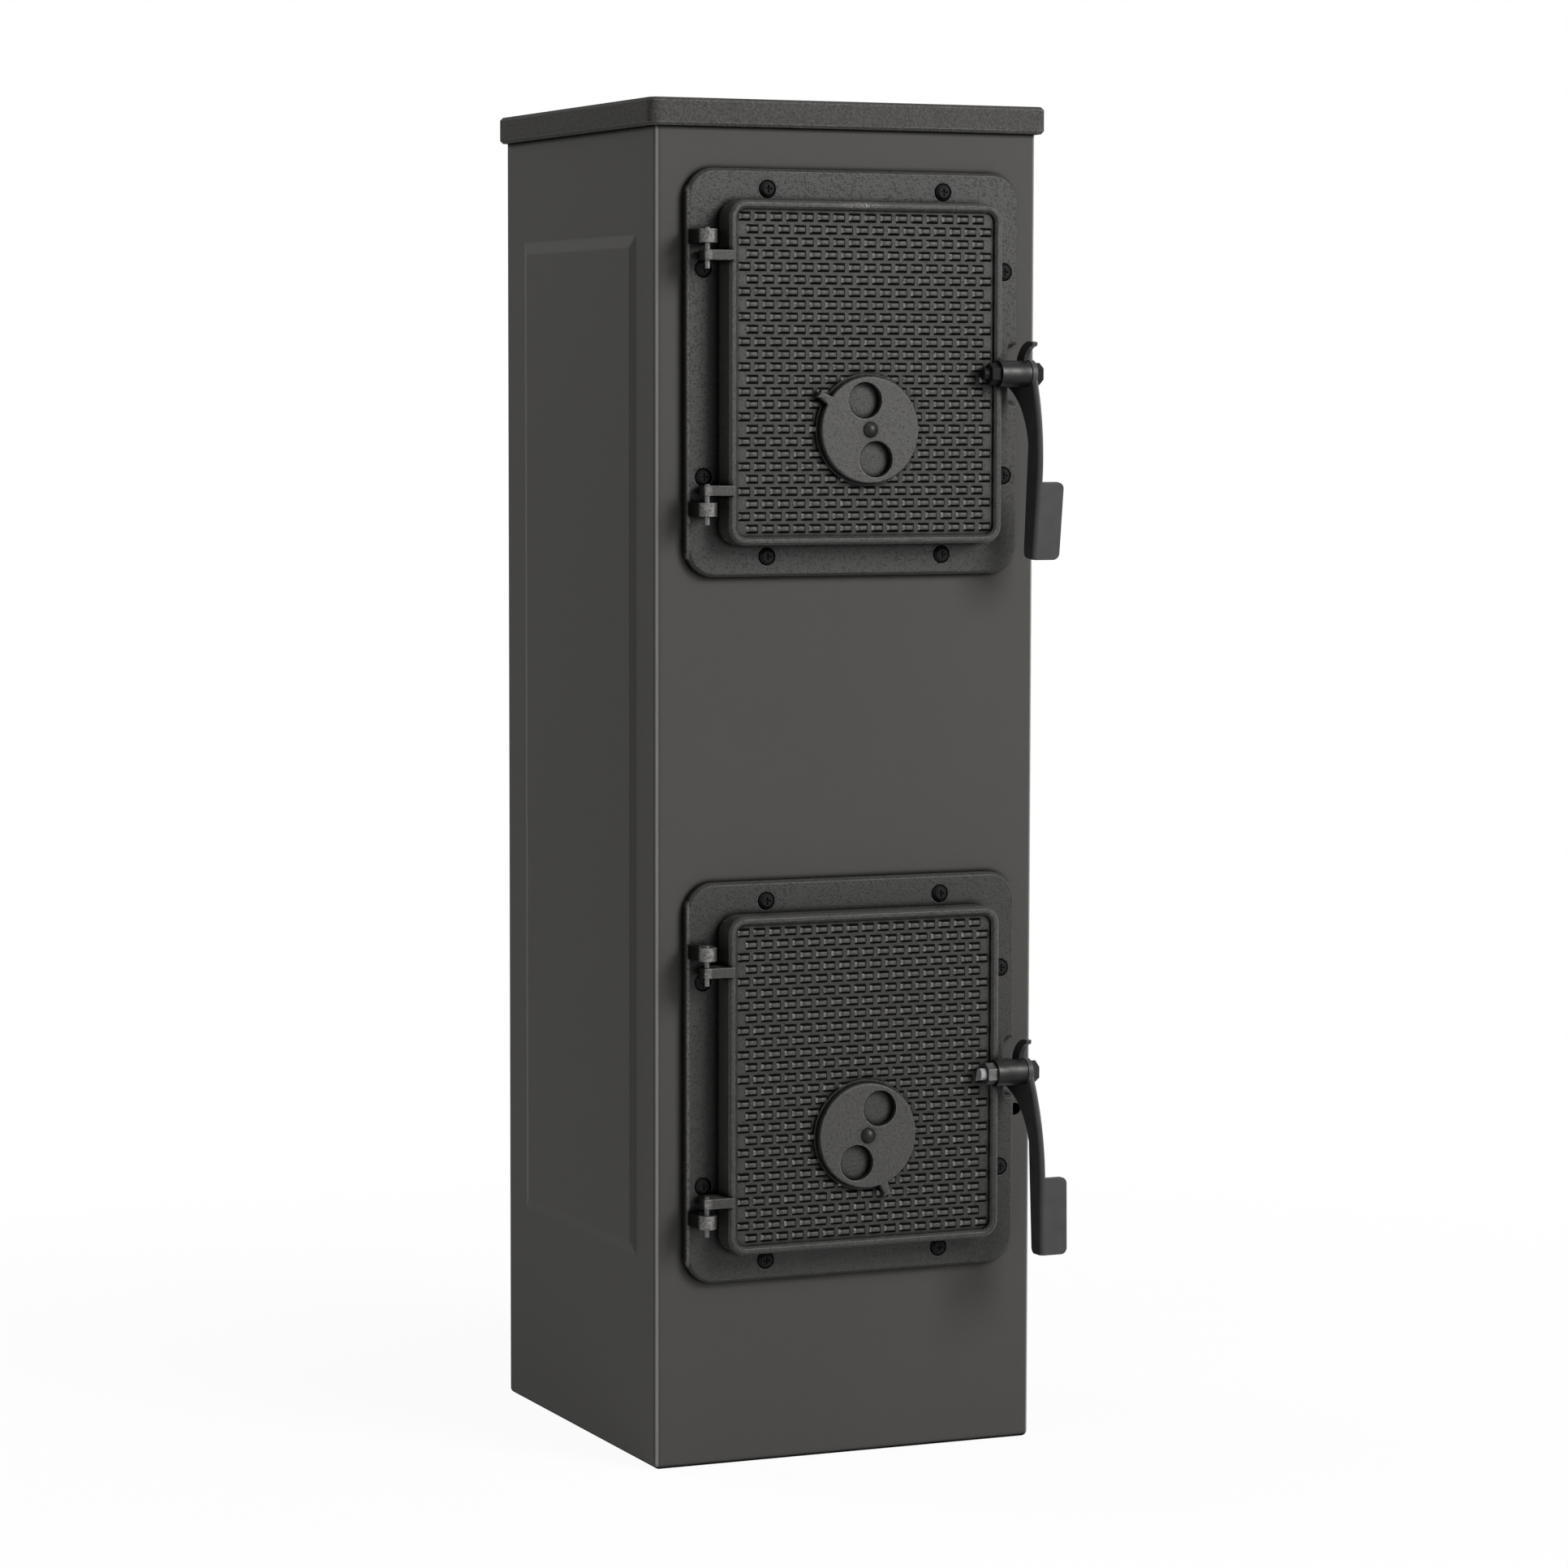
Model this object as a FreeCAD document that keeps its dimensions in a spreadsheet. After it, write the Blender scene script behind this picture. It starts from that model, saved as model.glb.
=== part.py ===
import FreeCAD, Part
import math
import os
import re

import Sketcher
from FreeCAD import Placement, Rotation, Vector

# Dimensions in millimetres, degrees and counts: alias, value or formula, what it measures
SIZES = (
    ("body_width", 280, "casing across the front"),
    ("body_depth", 280, "casing from front to back"),
    ("body_height", 900, "casing from the floor to the lid"),
    ("sheet_thick", 2, "sheet of the casing, back and shelf"),
    ("bend_radius", 4, "outside radius of the casing's folds"),
    ("return_width", 14, "flange that the casing folds under the base"),
    ("fit_gap", 0.3, "gap round pieces that drop into the casing"),
    ("press_rise", 2, "how far the side panels are pressed outwards"),
    ("press_slope", 8.5, "width of the pressed panels' sloping border"),
    ("press_side", 34, "margin of the pressed panel at front and back"),
    ("press_bottom", 141, "margin of the pressed panel below"),
    ("press_top", 71, "margin of the pressed panel above"),
    ("spare_hole_x", 128, "spare hole in the casing's front, from the middle"),
    ("spare_hole_drop", 31, "spare hole below the lower latch"),
    ("spare_hole_radius", 4.3, "radius of the spare hole"),
    ("base_thick", 4, "floor plate"),
    ("lid_overhang", 6, "lid beyond the casing on each side"),
    ("lid_thick", 18.3, "edge of the lid"),
    ("lid_corner", 8, "corner radius of the lid"),
    ("lid_edge", 2, "slope of the lid's top and bottom edges"),
    ("lid_hollow", 9, "depth of the hollow under the lid"),
    ("lid_rim_depth", 8, "locating rim under the lid"),
    ("lid_rim_wall", 6, "thickness of the locating rim"),
    ("lid_fit", 1, "play of the locating rim in the casing"),
    ("doorway_shift", 1.5, "doorways to the right of the casing's middle"),
    ("upper_drop", 163, "upper doorway's middle below the casing's top"),
    ("upper_level", "=body_height - upper_drop", "height of the upper doorway's middle"),
    ("lower_level", 261.5, "height of the lower doorway's middle"),
    ("door_width", 200, "door"),
    ("door_height", 228, "door"),
    ("frame_margin_x", 22, "frame beyond the door on each side"),
    ("frame_margin_z", 21.5, "frame beyond the door above and below"),
    ("frame_width", "=door_width + frame_margin_x * 2", "door frame"),
    ("frame_height", "=door_height + frame_margin_z * 2", "door frame"),
    ("frame_thick", 8, "door frame plate"),
    ("frame_corner", 20, "corner radius of the door frame"),
    ("frame_edge", 2, "slope of the door frame's front edge"),
    ("door_lap", 16, "door over the edge of the doorway"),
    ("opening_width", "=door_width - door_lap * 2", "clear opening of the doorway"),
    ("opening_height", "=door_height - door_lap * 2", "clear opening of the doorway"),
    ("opening_corner", 10, "corner radius of the clear opening"),
    ("spigot_wall", 5, "wall of the flange that enters the casing"),
    ("spigot_depth", 12, "depth of the flange that enters the casing"),
    ("cutout_gap", 0.5, "gap round that flange in the casing's cut-out"),
    ("notch_height", 40, "latch notch in the frame's right edge"),
    ("notch_depth", 7.2, "latch notch in the frame's right edge"),
    ("notch_corner", 3, "corner radius of the latch notch"),
    ("screw_near_x", 64.5, "upper and lower frame screws, from the middle"),
    ("screw_inset_z", 13.5, "upper and lower frame screws from the frame's edge"),
    ("screw_inset_x", 11.5, "side frame screws from the frame's edge"),
    ("screw_far_z", "=frame_height / 2 - screw_inset_z", "upper and lower frame screws, from the middle"),
    ("screw_far_x", "=frame_width / 2 - screw_inset_x", "side frame screws, from the middle"),
    ("screw_near_z", 69, "side frame screws, from the middle"),
    ("screw_radius", 2.5, "shank of the frame screws"),
    ("screw_play", 0.3, "play of a screw in its hole"),
    ("screw_head_radius", 5.3, "pan head of the frame screws"),
    ("screw_head_height", 3.4, "pan head of the frame screws"),
    ("screw_head_edge", 1.8, "sloping edge of the pan head"),
    ("screw_cross", 1.1, "width of the cross recess"),
    ("screw_cross_depth", 1.6, "depth of the cross recess"),
    ("screw_recess_radius", 6.2, "round recess under a screw head"),
    ("screw_recess_depth", 1.5, "round recess under a screw head"),
    ("nut_flats", 8, "frame nuts across flats"),
    ("nut_thick", 4, "frame nuts"),
    ("thread_gap", 0.05, "gap between a nut's bore and its screw"),
    ("screw_end", 1.5, "screw end beyond its nut"),
    ("pin_inset", 7, "hinge axis from the frame's left edge"),
    ("pin_reach", 18, "hinge axis in front of the frame plate"),
    ("pin_radius", 1.75, "hinge pin"),
    ("pin_length", 27, "hinge pin"),
    ("pin_seat_gap", 0.02, "gap between a pin and its frame lug"),
    ("pin_play", 0.08, "gap between a pin and its door ear"),
    ("pin_top", 1, "pin end beyond the first lug or ear"),
    ("lug_radius", 6.5, "knuckle of the frame's hinge lugs"),
    ("lug_thick", 9, "height of the frame's hinge lugs"),
    ("lug_level", 90, "hinge lugs above and below the middle"),
    ("ear_thick", 6.5, "height of the door's hinge ears"),
    ("ear_level", 77.5, "hinge ears above and below the middle"),
    ("ear_radius", 5, "free end of the door's hinge ears"),
    ("ear_depth", 20, "hinge ears from front to back"),
    ("door_depth", 20, "door rim from front to back"),
    ("door_gap", 1, "gap between the door and the frame plate"),
    ("door_corner", 12, "corner radius of the door"),
    ("door_edge", 1.8, "slope of the rim's edges"),
    ("rim_width", 5.7, "raised rim round the door's front"),
    ("panel_drop", 3.5, "door panel behind the rim"),
    ("panel_thick", 5, "door panel"),
    ("door_wall", 13, "door wall with the seal's groove"),
    ("seal_inset", 3.5, "seal's groove from the door's edge"),
    ("seal_width", 7, "rope seal"),
    ("seal_depth", 6, "depth of the seal's groove"),
    ("seal_proud", 0.7, "rope seal beyond the door's back"),
    ("seal_gap", 0.1, "gap between the rope and its groove"),
    ("tread_rise", 2, "damper seat above the panel"),
    ("damper_drop", 37.5, "damper below the door's middle"),
    ("damper_radius", 35.5, "damper disc"),
    ("damper_thick", 5.5, "damper disc"),
    ("damper_edge", 0.8, "slope of the disc's front edge"),
    ("damper_gap", 0.3, "running gap behind the disc"),
    ("damper_hole_radius", 12.3, "air holes in the disc"),
    ("damper_hole_circle", 20, "air holes from the disc's middle"),
    ("damper_tab_reach", 44, "tip of the thumb tab from the disc's middle"),
    ("damper_tab_bead", 2, "thicker end of the thumb tab"),
    ("damper_tab_tip", 6.3, "width of that end"),
    ("damper_tab_neck", 4, "thumb tab behind that end"),
    ("damper_tab_root", 9.9, "thumb tab at the disc"),
    ("damper_tab_angle", 45, "thumb tab from the line of the holes"),
    ("upper_damper_turn", 101.6, "line of the upper disc's holes"),
    ("lower_damper_turn", 245, "line of the lower disc's holes"),
    ("damper_seat_radius", 37.5, "raised seat of the disc on the door"),
    ("inlet_radius", 9, "air inlets through the door"),
    ("rivet_radius", 3, "shank of the damper's rivet"),
    ("rivet_play", 0.08, "gap between the rivet and the disc"),
    ("rivet_head_radius", 5.25, "dome of the rivet"),
    ("rivet_head_height", 3, "dome of the rivet"),
    ("rivet_tail_radius", 5, "closed end of the rivet"),
    ("rivet_tail_height", 2, "closed end of the rivet"),
    ("latch_reach", 27, "latch axis in front of the frame plate"),
    ("barrel_radius", 9, "latch barrel"),
    ("barrel_length", 22, "latch barrel"),
    ("barrel_left", 6.8, "barrel's inner end from the door's right edge"),
    ("barrel_gap", 0.05, "gap between the barrel and what carries it"),
    ("latch_lug_height", 15, "lug that carries the barrel"),
    ("latch_lug_end", 3, "barrel's outer end beyond the lug"),
    ("bolt_radius", 4, "latch bolt"),
    ("bolt_flats", 13, "latch bolt and nut across flats"),
    ("bolt_head_thick", 5.3, "head of the latch bolt"),
    ("bolt_nut_thick", 6.8, "nut of the latch bolt"),
    ("bolt_end", 4.5, "bolt beyond its nut"),
    ("bolt_play", 0.08, "gap between the bolt and the lever"),
    ("lever_gap", 0.3, "gap on each side of the lever"),
    ("lever_thick", 3.5, "lever plate"),
    ("lever_hub_radius", 9.5, "lever round the bolt"),
    ("lever_nose_reach", 31, "nose behind the bolt"),
    ("lever_nose_drop", 8.5, "nose below the bolt"),
    ("horn_inner", 10.6, "inside of the horn from the bolt"),
    ("horn_root_outer", 18.7, "outside of the horn's root from the bolt"),
    ("horn_tip_outer", 22.8, "outside of the horn's tip from the bolt"),
    ("horn_blunt", 2.6, "thickness of the horn's tip"),
    ("horn_root_angle", 24, "outside of the horn's root above the level of the bolt"),
    ("horn_inner_angle", 60, "inside of the horn's root from the same level"),
    ("horn_tip_angle", 112, "horn's tip from the same level"),
    ("throat_angle", 67, "deepest point between hub and horn from the same level"),
    ("hub_back_angle", 74, "where that throat meets the hub"),
    ("hub_front_angle", 205, "where the arm's front edge meets the hub"),
    ("nose_hollow", 7, "hollow of the edge below the nose"),
    ("lever_waist_drop", 48, "narrow place of the arm below the bolt"),
    ("lever_waist_back", -2.1, "back edge there, behind the bolt if positive"),
    ("lever_waist_front", 17.7, "front edge there, before the bolt"),
    ("grip_top", 73, "top of the grip below the bolt"),
    ("grip_front", 17, "front of the grip's top before the bolt"),
    ("grip_height", 53, "grip"),
    ("grip_tilt", 7.5, "lean of the grip"),
    ("arm_width", 14.5, "arm beside the grip"),
    ("grip_width", 19.8, "grip across"),
    ("grip_corner", 4.5, "corner radius of the grip"),
    ("grip_bend", 3.1, "outside radius of the bend between arm and grip"),
    ("lower_lever_turn", 8.5, "lower lever forward of the upper one"),
    ("shelf_level", 165, "top of the ash shelf"),
    ("shelf_flange", 15, "side flanges of the ash shelf"),
    ("inside_front", 12, "inner pieces behind the casing's front sheet"),
    ("pan_play", 6, "ash pan inside the doorway on each side"),
    ("pan_width", "=opening_width - pan_play * 2", "ash pan"),
    ("pan_length", 225, "ash pan"),
    ("pan_height", 62, "ash pan"),
    ("pan_sheet", 1.5, "sheet of the ash pan"),
    ("pan_lip", 8, "flanged lip of the ash pan"),
    ("handle_thick", 3, "strip of the pan's handle"),
    ("handle_strip", 12, "height of that strip"),
    ("handle_width", 76, "pan's handle"),
    ("handle_reach", 14, "pan's handle before the pan"),
    ("handle_drop", 12, "pan's handle below the pan's lip"),
    ("grate_level", 300, "top of the grate's ledge"),
    ("ledge_width", 40, "ledge along the sides and the back"),
    ("ledge_front", 20, "ledge along the front"),
    ("ledge_thick", 4, "ledge"),
    ("grate_lap", 8, "grate on its ledge"),
    ("grate_thick", 14, "grate"),
    ("grate_border", 14, "solid border of the grate"),
    ("grate_slots", 9, "slots of the grate"),
    ("grate_slot_width", 10, "slots of the grate"),
    ("lining_thick", 28, "firebricks"),
    ("lining_height", 290, "side and back firebricks"),
    ("brick_shelf_thick", 3, "angle under the front firebrick"),
    ("brick_shelf_rise", 4, "angle under the front firebrick above the lower frame"),
    ("front_brick_drop", 11.5, "front firebrick's top below the upper frame"),
    ("front_brick_bottom", "=lower_level + frame_height / 2 + brick_shelf_rise + brick_shelf_thick",
     "front firebrick above the floor"),
    ("front_brick_height", "=upper_level - frame_height / 2 - front_brick_drop - front_brick_bottom",
     "front firebrick"),
    ("flue_drop", 100, "flue's axis below the casing's top"),
    ("flue_level", "=body_height - flue_drop", "flue's axis above the floor"),
    ("flue_radius", 59, "outside of the flue collar"),
    ("flue_wall", 2, "wall of the flue collar"),
    ("flue_length", 60, "flue collar behind its flange"),
    ("flue_flange_radius", 78, "flange of the flue collar"),
    ("flue_flange_thick", 3, "flange of the flue collar"),
    ("flue_screw_circle", 69, "flue screws from the flue's axis"),
)

NEAR = 0.02
LEFT, RIGHT = -1, 1
DOORWAYS = ("upper", "lower")

doc = FreeCAD.newDocument("workshop_stove")
sheet = doc.addObject("Spreadsheet::Sheet", "sizes")
for row, (alias, value, meaning) in enumerate(SIZES, start=1):
    sheet.set(f"A{row}", meaning)
    sheet.set(f"B{row}", str(value))
    sheet.setAlias(f"B{row}", alias)
doc.recompute()

# Places that several pieces share, as formulas on the sheet
FRONT = "body_depth / 2"
PLATE = "(body_depth / 2 + frame_thick)"
DOOR_BACK = "(body_depth / 2 + frame_thick + door_gap)"
DOOR_FRONT = "(body_depth / 2 + frame_thick + door_gap + door_depth)"
PANEL = "(body_depth / 2 + frame_thick + door_gap + door_depth - panel_drop)"
PIN_X = "(doorway_shift - frame_width / 2 + pin_inset)"
PIN_Y = "(-body_depth / 2 - frame_thick - pin_reach)"
LATCH_Y = "(-body_depth / 2 - frame_thick - latch_reach)"
BARREL_X = "(doorway_shift + door_width / 2 - barrel_left)"
LEVER_X = "(doorway_shift + door_width / 2 - barrel_left + barrel_length + lever_gap)"
INSIDE_X = "(body_width / 2 - sheet_thick)"
INSIDE_FRONT = "(-body_depth / 2 + sheet_thick + inside_front)"
INSIDE_BACK = "(body_depth / 2 - sheet_thick - fit_gap)"


def size(alias):
    """The number in one cell of the sheet."""
    return float(sheet.get(alias))


def cells(formula):
    """A formula whose plain words have become cells of the sheet."""
    return re.sub(r"\b([a-z_]+)\b(?!\()", r"sizes.\1", formula)


def bind(thing, prop, formula):
    """Tie a property to a formula on the sheet."""
    thing.setExpression(prop, cells(formula))


def place(thing, x="0", y="0", z="0"):
    """Tie a thing's position to three formulas."""
    for axis, formula in zip("xyz", (x, y, z)):
        bind(thing, f"Placement.Base.{axis}", formula)
    return thing


# Sketch outlines, each corner or centre tied to formulas

def pin_point(sketch, geometry, end, x, y):
    """Tie one point of a sketch to two formulas."""
    for kind, formula in (("DistanceX", x), ("DistanceY", y)):
        number = sketch.addConstraint(Sketcher.Constraint(kind, geometry, end, 1.0))
        bind(sketch, f"Constraints[{number}]", formula)


def polygon(sketch, corners):
    """A closed outline of straight lines through corners given as pairs of formulas."""
    count = len(corners)
    spots = [Vector(math.cos(2 * math.pi * n / count), math.sin(2 * math.pi * n / count), 0)
             for n in range(count)]
    lines = [sketch.addGeometry(Part.LineSegment(spots[n], spots[(n + 1) % count]), False)
             for n in range(count)]
    for n, line in enumerate(lines):
        sketch.addConstraint(Sketcher.Constraint("Coincident", line, 2, lines[(n + 1) % count], 1))
    for line, (x, y) in zip(lines, corners):
        pin_point(sketch, line, 1, x, y)


def rectangle(sketch, left, bottom, right, top):
    """An upright rectangle between four formulas."""
    polygon(sketch, ((left, bottom), (right, bottom), (right, top), (left, top)))


def circle(sketch, x, y, radius):
    """A circle whose centre and radius are formulas."""
    number = sketch.addGeometry(Part.Circle(Vector(0, 0, 0), Vector(0, 0, 1), 1), False)
    pin_point(sketch, number, 3, x, y)
    constraint = sketch.addConstraint(Sketcher.Constraint("Radius", number, 1.0))
    bind(sketch, f"Constraints[{constraint}]", radius)


class Piece:
    """A body that is built feature by feature from sketches on its own planes."""

    PLANES = {"top": "XY_Plane", "front": "XZ_Plane", "side": "YZ_Plane"}

    def __init__(self, name):
        self.body = doc.addObject("PartDesign::Body", name)
        self.body.Label = name

    def plane(self, view):
        """One of the body's origin planes."""
        role = self.PLANES[view]
        return next(item for item in self.body.Origin.OriginFeatures if item.Role == role)

    def sketch(self, view, offset="0"):
        """A new sketch; front sketches are offset forwards, side ones to the right, top ones upwards."""
        made = self.body.newObject("Sketcher::SketchObject", f"{self.body.Name}_sketch")
        made.AttachmentSupport = [(self.plane(view), "")]
        made.MapMode = "FlatFace"
        bind(made, "AttachmentOffset.Base.z", offset)
        return made

    def feature(self, kind, sketch, length, backwards):
        made = self.body.newObject(f"PartDesign::{kind}", f"{self.body.Name}_{kind.lower()}")
        made.Profile = sketch
        made.Reversed = backwards
        if length is None:
            made.Type = "ThroughAll"
        else:
            bind(made, "Length", length)
        doc.recompute()
        return made

    def pad(self, sketch, length, backwards=False):
        """Add material: forwards from a front sketch, upwards from a top one."""
        return self.feature("Pad", sketch, length, backwards)

    def pocket(self, sketch, length=None, backwards=False):
        """Cut material away: towards the back from a front sketch, downwards from a top one."""
        before = self.body.Tip.Shape.Volume
        made = self.feature("Pocket", sketch, length, backwards)
        if not made.Shape.Volume < before:
            raise ValueError(f"a pocket of {self.body.Label} cuts nothing")
        return made

    def edges(self, along=None, **at):
        """Names of the edges that run along an axis and lie at the given coordinates."""
        names = []
        for number, edge in enumerate(self.body.Tip.Shape.Edges, start=1):
            box = edge.BoundBox
            span = {"x": (box.XMin, box.XMax), "y": (box.YMin, box.YMax), "z": (box.ZMin, box.ZMax)}
            level = all(abs(end - value) < NEAR for axis, value in at.items() for end in span[axis])
            straight = all(span[axis][1] - span[axis][0] < NEAR for axis in "xyz" if axis != along)
            if level and (along is None or straight):
                names.append(f"Edge{number}")
        return names

    def dress(self, kind, prop, amount, names):
        base = self.body.Tip
        made = self.body.newObject(f"PartDesign::{kind}", f"{self.body.Name}_{kind.lower()}")
        made.Base = (base, names)
        bind(made, prop, amount)
        doc.recompute()
        return made

    def fillet(self, radius, names):
        """Round the named edges."""
        return self.dress("Fillet", "Radius", radius, names)

    def chamfer(self, leg, names):
        """Slope the named edges."""
        return self.dress("Chamfer", "Size", leg, names)


# Plain solids and their combinations

def box(name, length, width, height, x, y, z):
    """A block with one corner at x, y, z."""
    made = doc.addObject("Part::Box", name)
    for prop, formula in (("Length", length), ("Width", width), ("Height", height)):
        bind(made, prop, formula)
    return place(made, x, y, z)


def cylinder(name, radius, height, x="0", y="0", z="0", direction=Vector(0, 0, 1)):
    """A round bar that starts at x, y, z and runs in a direction."""
    made = doc.addObject("Part::Cylinder", name)
    bind(made, "Radius", radius)
    bind(made, "Height", height)
    made.Placement = Placement(Vector(), Rotation(Vector(0, 0, 1), direction))
    return place(made, x, y, z)


def hexagon(name, flats, height, x="0", y="0", z="0", direction=Vector(0, 0, 1)):
    """A hexagonal bar, given across its flats."""
    made = doc.addObject("Part::Prism", name)
    made.Polygon = 6
    bind(made, "Circumradius", f"({flats}) / sqrt(3)")
    bind(made, "Height", height)
    made.Placement = Placement(Vector(), Rotation(Vector(0, 0, 1), direction))
    return place(made, x, y, z)


def fuse(name, *solids):
    """Several solids joined into one."""
    made = doc.addObject("Part::MultiFuse", name)
    made.Shapes = list(solids)
    made.Refine = True
    return made


def cut(name, base, *tools):
    """One solid with others taken out of it."""
    group = tools[0]
    if len(tools) > 1:
        group = doc.addObject("Part::Compound", f"{name}_tools")
        group.Links = list(tools)
    made = doc.addObject("Part::Cut", name)
    made.Base = base
    made.Tool = group
    made.Refine = True
    return made


def copies(name, pattern, places):
    """One solid repeated at several places, as a group of separate solids."""
    links = []
    for number, (x, y, z) in enumerate(places):
        link = doc.addObject("App::Link", f"{name}_{number}")
        link.LinkedObject = pattern
        links.append(place(link, x, y, z))
    made = doc.addObject("Part::Compound", name)
    made.Links = links
    return made


def shaped(name, shape):
    """A solid made directly from a shape."""
    made = doc.addObject("Part::Feature", name)
    made.Shape = shape
    return made


# Casing and covers

def screw_places(level):
    """The eight screws of a door frame, as pairs of formulas across and up."""
    spots = []
    for side in "+-":
        for end in "+-":
            spots.append((f"doorway_shift {side} screw_near_x", f"{level} {end} screw_far_z"))
            spots.append((f"doorway_shift {side} screw_far_x", f"{level} {end} screw_near_z"))
    return spots


def casing():
    """Folded sheet: front, sides and a flange under the base, with raised panels in the sides."""
    piece = Piece("casing")
    outline = piece.sketch("top")
    rectangle(outline, "-body_width / 2", "-body_depth / 2", "body_width / 2", "body_depth / 2")
    piece.pad(outline, "body_height")
    half, front = size("body_width") / 2, -size("body_depth") / 2
    folds = piece.edges("z", y=front) + piece.edges("x", y=front, z=0) + piece.edges("y", z=0)
    piece.fillet("bend_radius", folds)

    inside = piece.sketch("top", "sheet_thick")
    rectangle(inside, f"-{INSIDE_X}", "sheet_thick - body_depth / 2",
              INSIDE_X, "body_depth / 2 + bend_radius")
    piece.pocket(inside, None, backwards=True)
    wall, floor = half - size("sheet_thick"), size("sheet_thick")
    folds = piece.edges("z", y=front + floor) + piece.edges("x", y=front + floor, z=floor)
    folds += piece.edges("y", x=wall, z=floor) + piece.edges("y", x=-wall, z=floor)
    piece.fillet("bend_radius - sheet_thick", folds)

    base = piece.sketch("top")
    rectangle(base, "return_width - body_width / 2", "return_width - body_depth / 2",
              "body_width / 2 - return_width", "body_depth / 2 + bend_radius")
    piece.pocket(base, "sheet_thick", backwards=True)

    cutouts = piece.sketch("front", FRONT)
    wide = "(opening_width / 2 + spigot_wall + cutout_gap)"
    high = "(opening_height / 2 + spigot_wall + cutout_gap)"
    for side in DOORWAYS:
        rectangle(cutouts, f"doorway_shift - {wide}", f"{side}_level - {high}",
                  f"doorway_shift + {wide}", f"{side}_level + {high}")
    piece.pocket(cutouts, "sheet_thick")

    holes = piece.sketch("front", FRONT)
    for side in DOORWAYS:
        for x, z in screw_places(f"{side}_level"):
            circle(holes, x, z, "screw_radius + screw_play")
    circle(holes, "spare_hole_x", "lower_level - spare_hole_drop", "spare_hole_radius")
    piece.pocket(holes, "sheet_thick")

    for side, turn in (("-", 90), ("", -90)):
        for kind, skin in (("AdditiveWedge", "0"), ("SubtractiveWedge", "sheet_thick")):
            panel = piece.body.newObject(f"PartDesign::{kind}", f"casing_{kind.lower()}")
            panel.Placement = Placement(Vector(), Rotation(Vector(0, 0, 1), turn))
            bind(panel, "Placement.Base.x", f"{side}(body_width / 2 - {skin})")
            bind(panel, "Ymin", "0")
            bind(panel, "Ymax", "press_rise")
            for end, inset in (("", "0"), ("2", "press_slope")):
                bind(panel, f"X{end}min", f"press_side + {inset} - body_depth / 2")
                bind(panel, f"X{end}max", f"body_depth / 2 - press_side - {inset}")
                bind(panel, f"Z{end}min", f"press_bottom + {inset}")
                bind(panel, f"Z{end}max", f"body_height - press_top - {inset}")
            doc.recompute()
    return piece.body


def base_plate():
    """Floor plate whose rebated edge lies on the casing's flange."""
    piece = Piece("base_plate")
    lower = piece.sketch("top")
    rectangle(lower, "return_width + fit_gap - body_width / 2", "return_width + fit_gap - body_depth / 2",
              "body_width / 2 - return_width - fit_gap", INSIDE_BACK)
    piece.pad(lower, "base_thick")
    upper = piece.sketch("top", "sheet_thick")
    rectangle(upper, f"fit_gap + bend_radius - {INSIDE_X}",
              "sheet_thick + bend_radius + fit_gap - body_depth / 2",
              f"{INSIDE_X} - bend_radius - fit_gap", INSIDE_BACK)
    piece.pad(upper, "base_thick - sheet_thick")
    return piece.body


def back_panel():
    """Flat sheet that closes the back, with the flue hole."""
    piece = Piece("back_panel")
    outline = piece.sketch("front", f"-{FRONT}")
    rectangle(outline, f"-{INSIDE_X}", "bend_radius", INSIDE_X, "body_height")
    piece.pad(outline, "sheet_thick")
    flue = piece.sketch("front", "sheet_thick - body_depth / 2")
    circle(flue, "0", "flue_level", "flue_radius - flue_wall")
    for x, z in flue_screw_places():
        circle(flue, x, z, "screw_radius + screw_play")
    piece.pocket(flue, None)
    return piece.body


def lid():
    """Cast top plate, hollow below, with a rim that drops into the casing."""
    piece = Piece("lid")
    outline = piece.sketch("top", "body_height")
    rectangle(outline, "-body_width / 2 - lid_overhang", "-body_depth / 2 - lid_overhang",
              "body_width / 2 + lid_overhang", "body_depth / 2 + lid_overhang")
    piece.pad(outline, "lid_thick")
    piece.fillet("lid_corner", piece.edges("z"))
    top = size("body_height")
    piece.chamfer("lid_edge", piece.edges(z=top) + piece.edges(z=top + size("lid_thick")))
    across = f"({INSIDE_X} - lid_fit)"
    front = "(sheet_thick + lid_fit - body_depth / 2)"
    back = f"({INSIDE_BACK} - lid_fit)"
    rim = piece.sketch("top", "body_height")
    rectangle(rim, f"-{across}", front, across, back)
    piece.pad(rim, "lid_rim_depth", backwards=True)
    hollow = piece.sketch("top", "body_height - lid_rim_depth")
    rectangle(hollow, f"lid_rim_wall - {across}", f"{front} + lid_rim_wall",
              f"{across} - lid_rim_wall", f"{back} - lid_rim_wall")
    piece.pocket(hollow, "lid_rim_depth + lid_hollow", backwards=True)
    return piece.body


# Door frames, their screws and hinge pins

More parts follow.
